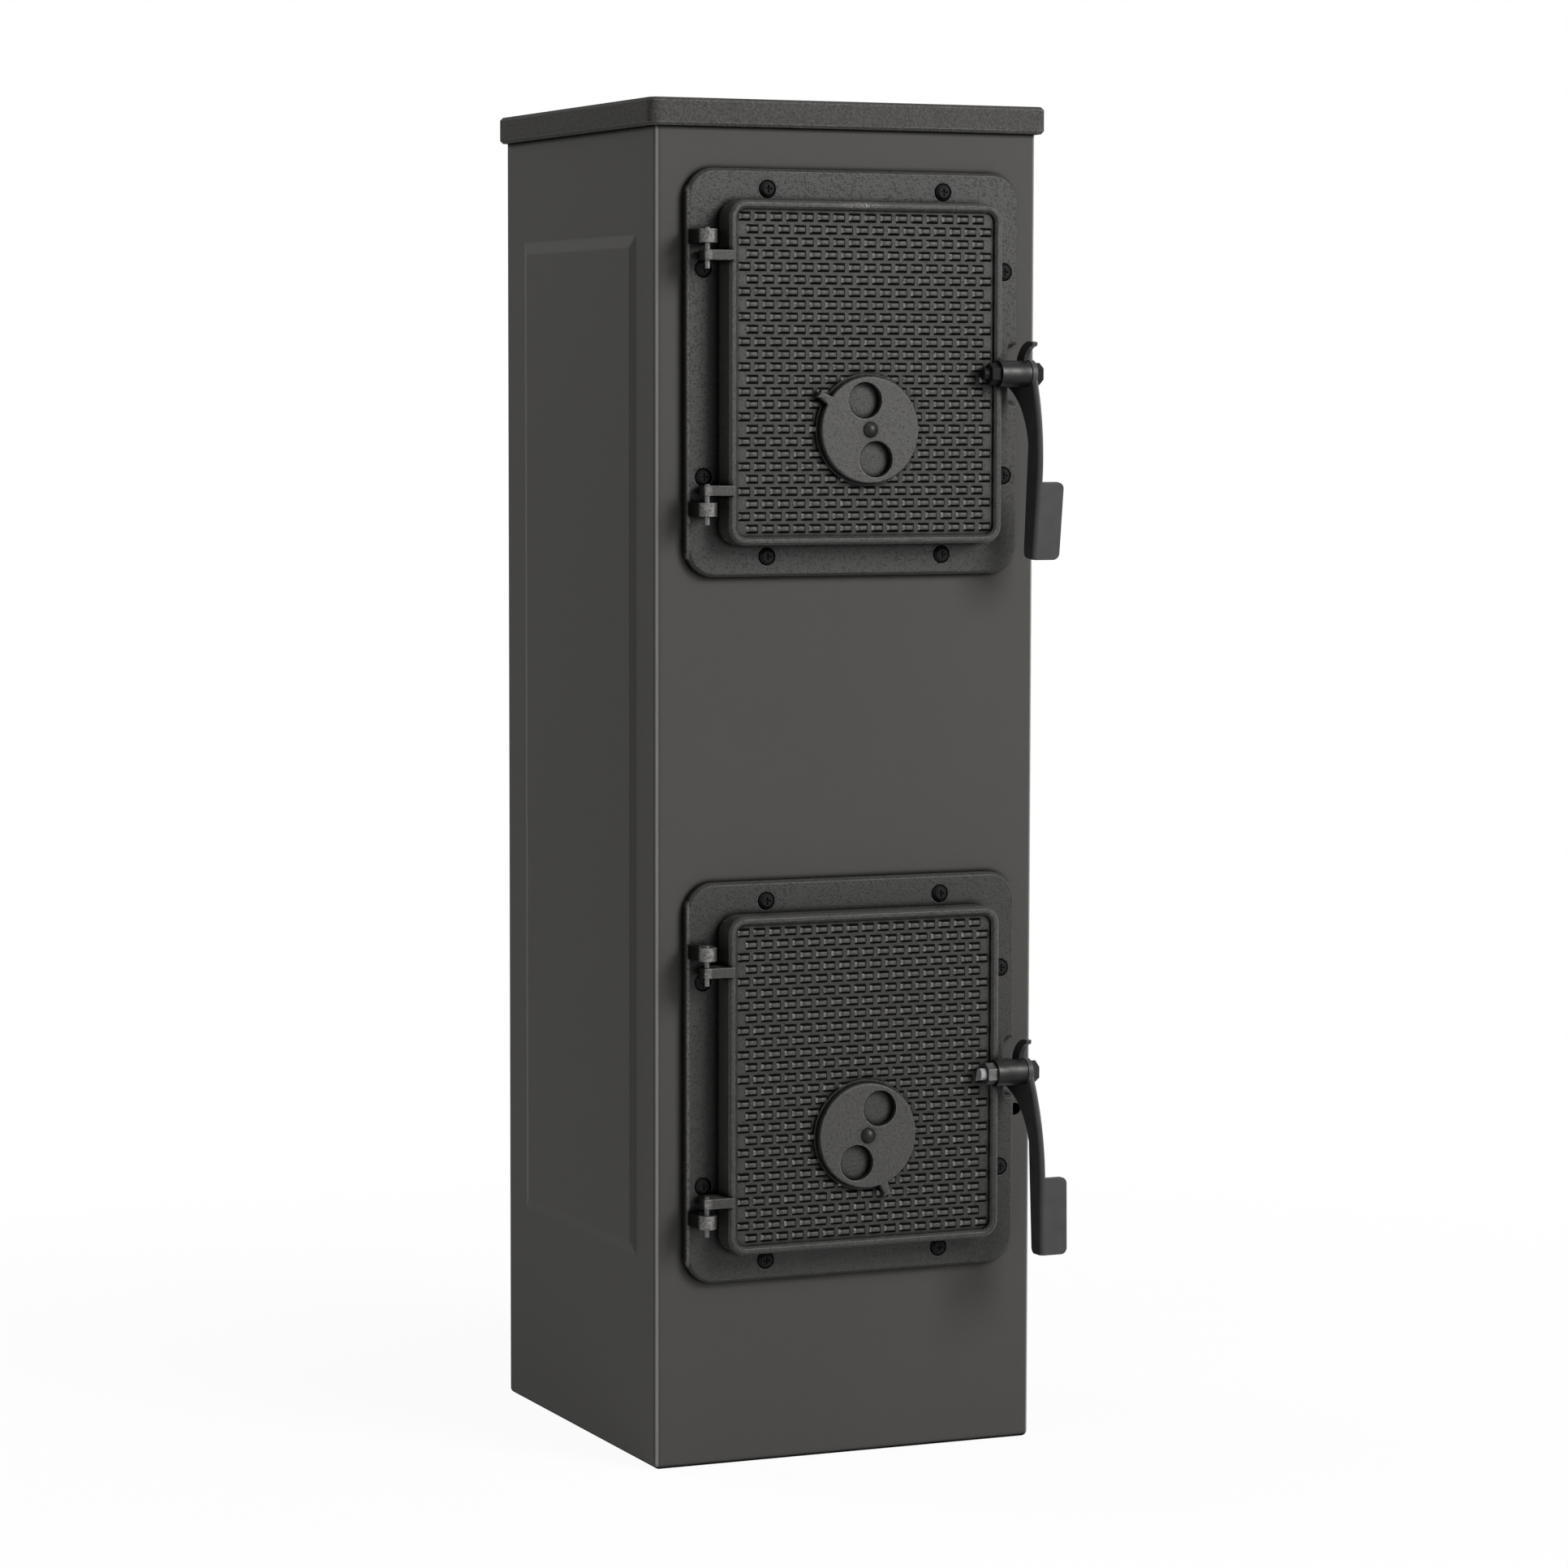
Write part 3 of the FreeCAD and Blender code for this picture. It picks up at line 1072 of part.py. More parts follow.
def main():
    nodes = [casing(), base_plate(), back_panel(), lid()]
    screw, nut = frame_screw(), frame_nut()
    seat_y = "screw_recess_depth - body_depth / 2 - frame_thick"
    for side in DOORWAYS:
        spots = screw_places(f"{side}_level")
        nodes += [door_frame(side), hinge_pins(side), door(side), door_seal(side), damper(side),
                  damper_rivet(side), latch_barrel(side), latch_bolt(side), latch_nut(side)]
        nodes.append(copies(f"{side}_frame_screws", screw, [(x, seat_y, z) for x, z in spots]))
        nodes.append(copies(f"{side}_frame_nuts", nut, [(x, "sheet_thick - body_depth / 2", z)
                                                        for x, z in spots]))
    nodes += [latch_lever("upper", "0"), latch_lever("lower", "lower_lever_turn")]
    nodes += [ash_shelf(), ash_pan(), ash_pan_handle(), grate_ledge(), grate(), flue_collar(),
              flue_flange(), flue_collar_screws()]
    nodes += lining()
    export(nodes)


main()
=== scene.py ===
import math

import bpy
import numpy as np
from bpy.props import FloatProperty, FloatVectorProperty, IntProperty, PointerProperty
from mathutils import Matrix, Vector


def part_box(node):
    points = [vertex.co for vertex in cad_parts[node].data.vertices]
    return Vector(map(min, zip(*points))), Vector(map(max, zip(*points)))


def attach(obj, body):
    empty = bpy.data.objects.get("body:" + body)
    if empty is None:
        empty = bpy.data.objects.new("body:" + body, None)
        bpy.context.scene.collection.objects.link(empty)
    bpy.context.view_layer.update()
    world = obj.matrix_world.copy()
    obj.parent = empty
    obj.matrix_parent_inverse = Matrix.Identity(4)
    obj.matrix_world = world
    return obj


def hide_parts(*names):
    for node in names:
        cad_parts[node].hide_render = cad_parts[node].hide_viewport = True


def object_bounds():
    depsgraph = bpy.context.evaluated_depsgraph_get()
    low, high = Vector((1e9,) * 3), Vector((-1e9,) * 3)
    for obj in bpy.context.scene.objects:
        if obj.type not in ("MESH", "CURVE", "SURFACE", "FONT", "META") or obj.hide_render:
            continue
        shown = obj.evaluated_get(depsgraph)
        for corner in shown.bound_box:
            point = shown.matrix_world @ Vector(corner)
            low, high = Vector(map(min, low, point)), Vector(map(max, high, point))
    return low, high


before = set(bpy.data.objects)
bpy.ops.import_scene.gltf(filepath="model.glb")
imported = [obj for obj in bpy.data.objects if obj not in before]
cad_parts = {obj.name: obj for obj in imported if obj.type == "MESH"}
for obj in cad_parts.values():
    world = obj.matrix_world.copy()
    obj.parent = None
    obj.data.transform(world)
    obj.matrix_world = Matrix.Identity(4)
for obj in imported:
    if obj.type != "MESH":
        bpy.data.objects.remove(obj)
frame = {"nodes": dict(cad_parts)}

bl_info = {
    "name": "Workshop stove dressing",
    "version": (1, 0, 0),
    "blender": (4, 5, 0),
    "location": "3D View > Sidebar > Stove",
    "description": "Treads, rope seals, finishes and a studio for the two-door workshop stove",
    "category": "Object",
}

DOORWAYS = ("upper", "lower")
CAD_BOX = [list(corner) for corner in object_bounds()]

# Where paint is rubbed, and where highlights and shade are painted, in metres

PANEL_RISE = 0.002  # the casing's side panels stand out this far from its folds
FOLD_HIGHLIGHT_FULL = 0.0012  # a fold's painted highlight is full up to this far from its corner
FOLD_HIGHLIGHT_NONE = 0.0026  # and gone from here on
PIN_REACH = 0.018  # hinge pins in front of the frames' plates
HINGE_LEFT, HINGE_FRONT = 0.39, 0.92  # direction of the hinges' rubbed side, which is also painted as lit
HINGE_PLAIN, HINGE_BARE_LIT = 0.0038, 0.0054  # that way from the pin: plain paint, wholly bare and painted as a highlight
HINGE_SHADE_FADE = 0.0008  # painted shade aside of a hinge's bright side sets in over this distance
FRAME_HINGE_SHADE_START = 0.005  # where it starts on the frames, aside of the pin
DOOR_HINGE_SHADE_START = 0.0012  # and on the doors
PLATE_CLEAR = (0.0002, 0.001)  # the hinges' painted shade ends this far in front of the frames' plates: none, full
EDGE_HIGHLIGHT = (0.0003, 0.0007, 0.0014, 0.0022)  # painted highlight line by the frames' left edge: none, full, full, none
EDGE_DEPTH = 0.0004  # the line fades out over this distance in front of the plate
SCUFF_ASIDE, SCUFF_ABOVE = -0.004, 0.0015  # the upper door's scuff, from the middle of its seal's top
SCUFF_SQUEEZE = (0.22, 1.0, 1.0)  # pattern scale that draws the scuff out along the rim
SCUFF_EDGE, SCUFF_CORE = 0.0045, 0.002  # reach of the scuff: none, full
TIP_FADE = 0.0005  # length over which a bolt's black end turns bare and painted bright, as a highlight

# Shares of a brick's length or height, from its left end or from its middle

BRICK_LIT_END = (0.15, 0.1)  # painted highlight on the left end: none, full
BRICK_LIT_END_HEIGHT = (0.32, 0.24)
BRICK_SIDE_SHADE = (0.19, 0.26)  # painted shade on the long slopes: none, full
BRICK_RIGHT_SHADE = (0.82, 0.88)  # painted shade on the right end
BRICK_CORNER_SHADE = 0.5  # strength of painted corner shade on the bricks

# Matt black laid where shade is painted: in corners, on brick slopes and beside the hinges
SHADE_BLACK = (0.004, 0.0039, 0.0037, 1.0)
RUST = (0.13, 0.055, 0.025, 1.0)
SMOKE = (0.10, 0.085, 0.07, 1.0)
SHADER_SAMPLES = 6  # rays of each rounded edge and each corner

SLOPE_STEPS = np.array([0, 0.35, 0.7, 1.0])  # points up a brick's slope, as shares of it
ROPE_STEPS = 7  # points along one crossing of the braid
ROPE_SIDES = 30  # points round the rope

# Studio: each lamp's place, the height on the stove's axis that it faces, and the side of its square

LAMPS = {
    "key": ((1.25, -2.3, 1.9), 0.8, 1.2),
    "sheen": ((1.15, -2.6, 0.6), 0.55, 1.5),
    "fill": ((-2.7, 3.6, 3.0), 0.55, 2.0),
    "glint": ((-2.6, -1.1, 0.9), 0.55, 0.6),
    "top": ((-0.2, -0.5, 2.7), 0.55, 1.6),
}
SENSOR_WIDTH = 36.0  # camera frame, in millimetres
WHITE = (1.0, 1.0, 1.0, 1.0)
PAPER = (0.86, 0.86, 0.86, 1.0)
FLOOR_REACH = 9.0  # floor from its middle to a side
FLOOR_GAP = 0.0003  # floor below the stove's foot
FLOOR_WHITE = 0.94  # share of plain white beside the stove, which leaves a soft shadow
SHADOW_NEAR, SHADOW_FAR = 0.35, 1.2  # the shadow fades out between these distances


# What a user would change

class StoveTread(bpy.types.PropertyGroup):
    """Raised bricks on the doors."""
    rows: IntProperty(name="Rows", description="Rows of bricks on a door", default=26, min=2)
    columns: IntProperty(name="Columns", description="Bricks in a row", default=16, min=2)
    pitch_across: FloatProperty(name="Pitch across", description="Brick to brick along a row",
                                default=0.0114, unit="LENGTH", precision=5)
    pitch_up: FloatProperty(name="Pitch up", description="Row to row",
                            default=0.00825, unit="LENGTH", precision=5)
    length: FloatProperty(name="Length", description="Foot of a brick along its row",
                          default=0.0085, unit="LENGTH", precision=5)
    height: FloatProperty(name="Height", description="Foot of a brick across its row",
                          default=0.0061, unit="LENGTH", precision=5)
    end_slope: FloatProperty(name="End slope", description="Sloping end of a brick",
                             default=0.0014, unit="LENGTH", precision=5)
    side_slope: FloatProperty(name="Side slope", description="Sloping side of a brick",
                              default=0.002, unit="LENGTH", precision=5)
    rise: FloatProperty(name="Rise", description="Top of a brick above the door's panel",
                        default=0.0019, unit="LENGTH", precision=5)
    seat: FloatProperty(name="Seat", description="Radius of the plain seat round the air disc",
                        default=0.0375, unit="LENGTH", precision=5)
    panel_gap: FloatProperty(name="Panel gap", description="Back of the air disc above the door's panel",
                             default=0.0023, unit="LENGTH", precision=5)


class StoveRope(bpy.types.PropertyGroup):
    """Braided rope in the doors' back grooves."""
    width: FloatProperty(name="Width", description="Rope across its groove",
                         default=0.0067, unit="LENGTH", precision=5)
    corner: FloatProperty(name="Corner", description="Radius of the rope's middle at a corner",
                          default=0.006, unit="LENGTH", precision=5)
    plait: FloatProperty(name="Plait", description="Length of one crossing of the braid",
                         default=0.009, unit="LENGTH", precision=5)
    strands: IntProperty(name="Strands", description="Strands round the rope", default=6, min=2)
    relief: FloatProperty(name="Relief", description="Height of a strand as a share of the rope",
                          default=0.09, subtype="FACTOR", min=0, max=0.5)


class StoveColours(bpy.types.PropertyGroup):
    """Base colours of the finishes."""
    sheet: FloatVectorProperty(name="Sheet paint", description="Paint of the folded casing",
                               subtype="COLOR", size=3, default=(0.055, 0.0537, 0.0508))
    lid: FloatVectorProperty(name="Lid paint", description="Paint of the lid",
                             subtype="COLOR", size=3, default=(0.055, 0.0537, 0.051))
    frame: FloatVectorProperty(name="Frame paint", description="Paint of the door frames",
                               subtype="COLOR", size=3, default=(0.0255, 0.0249, 0.0237))
    door: FloatVectorProperty(name="Door paint", description="Paint of the doors",
                              subtype="COLOR", size=3, default=(0.031, 0.0303, 0.0288))
    brick: FloatVectorProperty(name="Brick paint", description="Paint of the doors' bricks, rubbed by use",
                               subtype="COLOR", size=3, default=(0.047, 0.0459, 0.0437))
    disc: FloatVectorProperty(name="Disc paint", description="Paint of the air discs",
                              subtype="COLOR", size=3, default=(0.042, 0.041, 0.039))
    soot: FloatVectorProperty(name="Soot", description="Inner sheet",
                              subtype="COLOR", size=3, default=(0.022, 0.021, 0.020))
    iron: FloatVectorProperty(name="Bare iron", description="Unpainted casting of the grate",
                              subtype="COLOR", size=3, default=(0.11, 0.10, 0.095))
    steel: FloatVectorProperty(name="Bare steel", description="Hinge pins and the lower latch's nut",
                               subtype="COLOR", size=3, default=(0.12, 0.118, 0.115))
    barrel: FloatVectorProperty(name="Barrel steel",
                                description="Latch barrels, rivets and the lower latch's bolt",
                                subtype="COLOR", size=3, default=(0.024, 0.0237, 0.0233))
    lever: FloatVectorProperty(name="Lever paint", description="Latch levers",
                               subtype="COLOR", size=3, default=(0.034, 0.034, 0.0342))
    black: FloatVectorProperty(name="Black steel",
                               description="Frame screws, and the upper latch's bolt and nut",
                               subtype="COLOR", size=3, default=(0.008, 0.008, 0.0082))
    zinc: FloatVectorProperty(name="Zinc",
                              description="Inner nuts, flue screws, the ash pan and the lower bolt's tip",
                              subtype="COLOR", size=3, default=(0.56, 0.565, 0.57))
    firebrick: FloatVectorProperty(name="Firebrick", description="Lining of the fire chamber",
                                   subtype="COLOR", size=3, default=(0.58, 0.44, 0.28))
    rope: FloatVectorProperty(name="Rope", description="Mineral fibre of the seals",
                              subtype="COLOR", size=3, default=(0.60, 0.57, 0.52))


class StoveStage(bpy.types.PropertyGroup):
    """Camera and lamps."""
    eye: FloatVectorProperty(name="Camera", description="Where the camera stands",
                             subtype="XYZ", unit="LENGTH", size=3, default=(-1.3582, -3.1507, 0.7249))
    yaw: FloatProperty(name="Yaw", description="Camera turned to the right",
                       subtype="ANGLE", default=math.radians(23.54))
    pitch: FloatProperty(name="Pitch", description="Camera tilted down",
                         subtype="ANGLE", default=math.radians(4.59))
    roll: FloatProperty(name="Roll", description="Camera's lean", subtype="ANGLE", default=math.radians(0.11))
    lens: FloatProperty(name="Lens", description="Focal length in millimetres", unit="CAMERA", default=112.25)
    key: FloatProperty(name="Key", description="Watts of the lamp at the front right",
                       unit="POWER", default=96.0)
    sheen: FloatProperty(name="Sheen", description="Watts of the low lamp that the fronts mirror",
                         unit="POWER", default=15.0)
    fill: FloatProperty(name="Fill", description="Watts of the high lamp at the left, behind",
                        unit="POWER", default=114.0)
    glint: FloatProperty(name="Glint", description="Watts of the small lamp at the left, in front",
                         unit="POWER", default=3.2)
    top: FloatProperty(name="Top", description="Watts of the lamp above", unit="POWER", default=8.0)
    ambient: FloatProperty(name="Ambient", description="Strength of the light from all round", default=0.05)


# Materials

class Value:
    """A number, colour or vector inside a material; arithmetic on it adds Math nodes."""

    def __init__(self, finish, socket):
        self.finish = finish
        self.socket = socket

    def _math(self, operation, first, second):
        return self.finish.node("ShaderNodeMath", {"operation": operation}, {0: first, 1: second})

    def __add__(self, other):
        return self._math("ADD", self, other)

    def __sub__(self, other):
        return self._math("SUBTRACT", self, other)

    def __rsub__(self, other):
        return self._math("SUBTRACT", other, self)

    def __mul__(self, other):
        return self._math("MULTIPLY", self, other)

    def __abs__(self):
        return self.finish.node("ShaderNodeMath", {"operation": "ABSOLUTE"}, {0: self})

    __radd__ = __add__
    __rmul__ = __mul__


class Finish:
    """The nodes of a new material, or of the world, put together one by one."""

    def __init__(self, owner):
        owner.use_nodes = True
        self.owner = owner
        self.tree = owner.node_tree
        self.tree.nodes.clear()

    def node(self, kind, settings=None, sockets=None, output=0):
        """Add a node, set it up, then fill its sockets with numbers or links."""
        made = self.tree.nodes.new(kind)
        for name, setting in (settings or {}).items():
            setattr(made, name, setting)
        for name, content in (sockets or {}).items():
            if isinstance(content, Value):
                self.tree.links.new(content.socket, made.inputs[name])
            else:
                made.inputs[name].default_value = content
        return Value(self, made.outputs[output]) if made.outputs else None

    def place(self, stretch=(1, 1, 1)):
        """The object's own coordinates, stretched along its axes."""
        spot = self.node("ShaderNodeTexCoord", output="Object")
        return self.node("ShaderNodeMapping", sockets={"Vector": spot, "Scale": stretch})

    def axes(self, spot):
        """First and second number of a place."""
        return [self.node("ShaderNodeSeparateXYZ", sockets={"Vector": spot}, output=axis) for axis in "XY"]

    def noise(self, place, per_metre, detail=2.0, rough=0.5):
        """Soft random value about one half, with that many blotches to the metre."""
        return self.node("ShaderNodeTexNoise", sockets={"Vector": place, "Scale": per_metre, "Detail": detail,
                                                        "Roughness": rough})

    def cells(self, place, per_metre):
        """Distance from the middle of the nearest random cell."""
        return self.node("ShaderNodeTexVoronoi", sockets={"Vector": place, "Scale": per_metre})

    def between(self, value, none, full):
        """0 at none, 1 at full and a straight line from one to the other; either may be the larger."""
        return self.node("ShaderNodeMapRange", sockets={"Value": value, "From Min": none, "From Max": full})

    def larger(self, first, second):
        """The larger of two values."""
        return self.node("ShaderNodeMath", {"operation": "MAXIMUM"}, {0: first, 1: second})

    def blend(self, share, first, second):
        """Colour that goes from the first to the second."""
        return self.node("ShaderNodeMix", {"data_type": "RGBA"}, {0: share, 6: first, 7: second}, output=2)

    def rounded(self, radius):
        """Normal that turns smoothly round every edge."""
        return self.node("ShaderNodeBevel", {"samples": SHADER_SAMPLES}, {"Radius": radius})

    def edges(self, rounded, none=0.01, full=0.22):
        """1 on an edge and 0 on the flat: how far the rounded normal leans from the true one."""
        flat = self.node("ShaderNodeNewGeometry", output="Normal")
        along = self.node("ShaderNodeVectorMath", {"operation": "DOT_PRODUCT"}, {0: rounded, 1: flat},
                          output="Value")
        return self.between(1 - along, none, full)

    def crevice(self, reach, none=0.96, full=0.5):
        """1 deep in a corner and 0 in the open: how little of the sky is free of things within reach."""
        free = self.node("ShaderNodeAmbientOcclusion", {"samples": SHADER_SAMPLES}, {"Distance": reach},
                         output="AO")
        return self.between(free, none, full)

    def bump(self, height, depth, normal=None):
        """Normal over a relief of that depth in metres."""
        sockets = {"Height": height, "Distance": depth, "Strength": 1.0}
        if normal is not None:
            sockets["Normal"] = normal
        return self.node("ShaderNodeBump", sockets=sockets)

    def surface(self, painted_shade=None, **sockets):
        """End with the main shader and its sockets, written with _ for a blank.

        Painted shade lays matt black over it.
        """
        filled = {name.replace("_", " "): content for name, content in sockets.items()}
        shader = self.node("ShaderNodeBsdfPrincipled", sockets=filled)
        if painted_shade is not None:
            # painted shade: matt black mixed in by the mask
            shade_coat = self.node("ShaderNodeBsdfPrincipled", sockets={"Base Color": SHADE_BLACK, "Roughness": 0.9,
                                                                   "Specular IOR Level": 0.0})
            shader = self.node("ShaderNodeMixShader", sockets={0: painted_shade, 1: shader, 2: shade_coat})
        self.node("ShaderNodeOutputMaterial", sockets={"Surface": shader})
        return self.owner


def shade(colour, times):
    """A colour made darker or lighter, with full alpha."""
    return (*(min(part * times, 1) for part in colour), 1.0)


def sheet_paint(colour, fold):
    """Baked matt paint on sheet: a faint orange peel, slow drift of tone, edges and folds painted paler as
    highlights, painted shade in corners.

    The fold is the corner where the front's and the left side's faces would meet.
    """
    finish = Finish(bpy.data.materials.new("sheet_paint"))
    place = finish.place()
    drift = finish.noise(place, per_metre=5.0, detail=3.0)
    peel = finish.noise(place, per_metre=620.0)
    speck = finish.between(finish.noise(place, per_metre=1500.0), none=0.6, full=0.8)
    rounded = finish.rounded(0.0022)
    tone = finish.blend(drift, shade(colour, 0.92), shade(colour, 1.08))
    tone = finish.blend(speck * 0.3, tone, shade(colour, 1.4))
    # edges painted paler, as highlights
    tone = finish.blend(finish.edges(rounded) * 0.4, tone, shade(colour, 1.9))
    across, deep = finish.axes(place)
    # painted highlight along both front folds, where the bends catch the light
    rubbed_and_lit = finish.between(abs(across), -fold.x - FOLD_HIGHLIGHT_NONE, -fold.x - FOLD_HIGHLIGHT_FULL)
    rubbed_and_lit = rubbed_and_lit * finish.between(deep, fold.y + FOLD_HIGHLIGHT_NONE, fold.y + FOLD_HIGHLIGHT_FULL)
    # painted shade in corners, within 3.5 mm
    return finish.surface(finish.crevice(0.0035), Base_Color=finish.blend(rubbed_and_lit, tone, shade(colour, 5.0)),
                          Roughness=0.46 + 0.1 * drift + 0.05 * peel, Metallic=0.0, Specular_IOR_Level=0.035,
                          Normal=finish.bump(peel, 0.00004, rounded))


class CastingPaint(Finish):
    """Paint over sand-cast iron: pebbly skin, dark pits, edges rubbed paler and painted as highlights,
    painted shade in corners.

    Grain is the skin's depth. Marks of use, painted highlights and painted shade are added to it before the
    material is taken.
    """

    def __init__(self, name, colour, grain=0.00022, gloss=0.2, dull=0.34):
        super().__init__(bpy.data.materials.new(name))
        self.colour, self.grain, self.gloss, self.dull = colour, grain, gloss, dull
        place = self.place()
        pebble = self.noise(place, per_metre=560.0, detail=3.0, rough=0.6)
        self.across, self.deep = self.axes(place)
        self.fine = self.noise(place, per_metre=1500.0)
        self.skin = pebble * 0.6 + self.fine * 0.4
        self.pits = self.between(self.noise(place, per_metre=760.0, detail=1.0), none=0.6, full=0.7)
        # patches that break up the rubbed marks and the painted highlights
        self.patchy = self.between(pebble, none=0.25, full=0.6)
        self.smooth = self.rounded(0.0012)
        # painted shade in corners and between parts, from how little sky each point sees within 5 mm
        self.painted_shade = self.crevice(0.005)
        skin = self.between(self.skin, none=0.36, full=0.64)
        self.tone = self.blend(skin, shade(colour, 0.62), shade(colour, 1.45))
        self.turn(self.noise(place, per_metre=9.0, detail=3.0) * 0.3, 0.75)
        self.turn(self.pits * 0.55, 0.3)
        # edges rubbed paler and painted lighter as highlights
        self.turn(self.edges(self.smooth) * self.patchy * 0.85, 5.5)

    def turn(self, share, times):
        """Turn the tone into the paint's colour times a number, where share is 1."""
        self.tone = self.blend(share, self.tone, shade(self.colour, times))

    def paint_brick_light_and_shade(self):
        """Paint a highlight on the left end of every brick, and paint shade on its other slopes."""
        along, up = self.axes(self.node("ShaderNodeTexCoord", output="UV"))
        aside = abs(up - 0.5)
        lit_end = self.between(along, *BRICK_LIT_END) * self.between(aside, *BRICK_LIT_END_HEIGHT)
        shaded_slope = self.larger(self.between(aside, *BRICK_SIDE_SHADE), self.between(along, *BRICK_RIGHT_SHADE))
        # painted highlight on each brick's left end
        self.turn(lit_end * self.patchy, 8.0)
        # painted shade on the other slopes and, at half strength, in corners
        self.painted_shade = self.larger(self.painted_shade * BRICK_CORNER_SHADE, shaded_slope) * (1 - lit_end)

    def mark_hinge_wear_and_light(self, pin, shade_start):
        """Rub the hinges bare and paint a highlight on their side to the front left, and paint shade on what
        lies aside of it.
        """
        left, front = pin.x - self.across, pin.y - self.deep
        outward = HINGE_LEFT * left + HINGE_FRONT * front
        aside = HINGE_FRONT * left - HINGE_LEFT * front
        plate = pin.y + PIN_REACH
        ahead = self.between(self.deep, *(plate - clear for clear in PLATE_CLEAR))
        # bare iron on the hinges' front-left side, painted lighter to stand for its highlight too
        self.turn(self.between(outward, HINGE_PLAIN, HINGE_BARE_LIT) * self.patchy, 7.0)
        # painted shade on the hinges' sides away from the light
        self.painted_shade = self.larger(self.painted_shade, self.between(aside, shade_start, shade_start + HINGE_SHADE_FADE) * ahead * 0.85)

    def paint_edge_highlight(self, left, plate):
        """Paint a highlight line along the left edge of a plate, given by the edge and the level of the
        plate's front.
        """
        begins, full, fades, ends = (left + way for way in EDGE_HIGHLIGHT)
        line = self.between(self.across, begins, full) * self.between(self.across, ends, fades)
        # painted highlight along the frame's left edge
        self.turn(line * self.between(self.deep, plate - EDGE_DEPTH, plate) * self.patchy, 6.0)

    def mark_scuff(self, spot):
        """Strew bare specks about a spot."""
        away = self.node("ShaderNodeVectorMath", {"operation": "DISTANCE"},
                         {0: self.place(SCUFF_SQUEEZE), 1: spot * Vector(SCUFF_SQUEEZE)}, output="Value")
        bare = self.between(away, SCUFF_EDGE, SCUFF_CORE) * self.between(self.fine, none=0.5, full=0.62)
        self.turn(bare * 0.7, 8.0)

    def material(self):
        """The paint, with all its marks."""
        return self.surface(self.painted_shade, Base_Color=self.tone, Metallic=0.0,
                            Roughness=self.dull + 0.16 * self.skin, Specular_IOR_Level=self.gloss,
                            Normal=self.bump(self.skin - self.pits * 0.6, self.grain, self.smooth))


def soot_sheet(colour):
    """Inner sheet: matt black with dusty ash in broad blotches."""
    finish = Finish(bpy.data.materials.new("soot_sheet"))
    place = finish.place()
    blotch = finish.noise(place, per_metre=24.0, detail=5.0, rough=0.65)
    grain = finish.noise(place, per_metre=900.0)
    rounded = finish.rounded(0.001)
    tone = finish.blend(finish.between(blotch, none=0.45, full=0.75), shade(colour, 0.8), shade(colour, 2.6))
    return finish.surface(Base_Color=finish.blend(finish.edges(rounded) * 0.4, tone, shade(colour, 3.5)),
                          Roughness=0.6 + 0.25 * blotch, Metallic=0.0,
                          Normal=finish.bump(grain, 0.00006, rounded))


def bare_iron(colour):
    """Unpainted casting: grey-brown skin with rust in patches."""
    finish = Finish(bpy.data.materials.new("bare_iron"))
    place = finish.place()
    pebble = finish.noise(place, per_metre=420.0, detail=4.0, rough=0.6)
    rust = finish.between(finish.noise(place, per_metre=38.0, detail=4.0), none=0.5, full=0.72)
    rounded = finish.rounded(0.0015)
    tone = finish.blend(pebble, shade(colour, 0.7), shade(colour, 1.3))
    tone = finish.blend(rust * 0.45, tone, RUST)
    return finish.surface(Base_Color=finish.blend(finish.edges(rounded) * 0.5, tone, shade(colour, 2.2)),
                          Roughness=0.5 + 0.3 * pebble, Metallic=0.55 - 0.45 * rust,
                          Normal=finish.bump(pebble, 0.00025, rounded))


def turned_steel(colour, name="turned_steel"):
    """Machined bar: fine lines round it, a few dull stains."""
    finish = Finish(bpy.data.materials.new(name))
    lines = finish.noise(finish.place((6.0, 1.0, 1.0)), per_metre=900.0, detail=3.0)
    stain = finish.between(finish.noise(finish.place(), per_metre=130.0, detail=3.0), none=0.45, full=0.7)
    rounded = finish.rounded(0.0006)
    tone = finish.blend(lines, shade(colour, 0.75), shade(colour, 1.2))
    tone = finish.blend(stain * 0.5, tone, shade(colour, 0.45))
    return finish.surface(Base_Color=finish.blend(finish.edges(rounded) * 0.5, tone, shade(colour, 1.8)),
                          Roughness=0.3 + 0.16 * lines + 0.12 * stain, Metallic=0.85, Specular_IOR_Level=0.3,
                          Normal=finish.bump(lines, 0.00002, rounded))


def black_steel(colour, name="black_steel", gloss=0.05, tip=None, bare=None):
    """Blackened steel: satin, with edges rubbed to grey; to the left of the tip, if there is one, bare and
    painted bright as a highlight.
    """
    finish = Finish(bpy.data.materials.new(name))
    place = finish.place()
    cloud = finish.noise(place, per_metre=95.0, detail=4.0)
    grain = finish.noise(place, per_metre=1300.0)
    rounded = finish.rounded(0.0007)
    edge = finish.edges(rounded) * finish.between(cloud, none=0.25, full=0.6)
    tone = finish.blend(cloud, shade(colour, 0.8), shade(colour, 1.4))
    tone = finish.blend(edge * 0.6, tone, shade(colour, 6.0))
    if tip is not None:
        across = finish.axes(place)[0]
        # bare tip, painted bright to stand for its highlight
        tone = finish.blend(finish.between(across, tip, tip - TIP_FADE), tone, shade(bare, 0.5))
    return finish.surface(Base_Color=tone, Roughness=0.32 + 0.14 * cloud + 0.06 * grain, Metallic=0.0,
                          Specular_IOR_Level=gloss, Normal=finish.bump(grain, 0.00003, rounded))


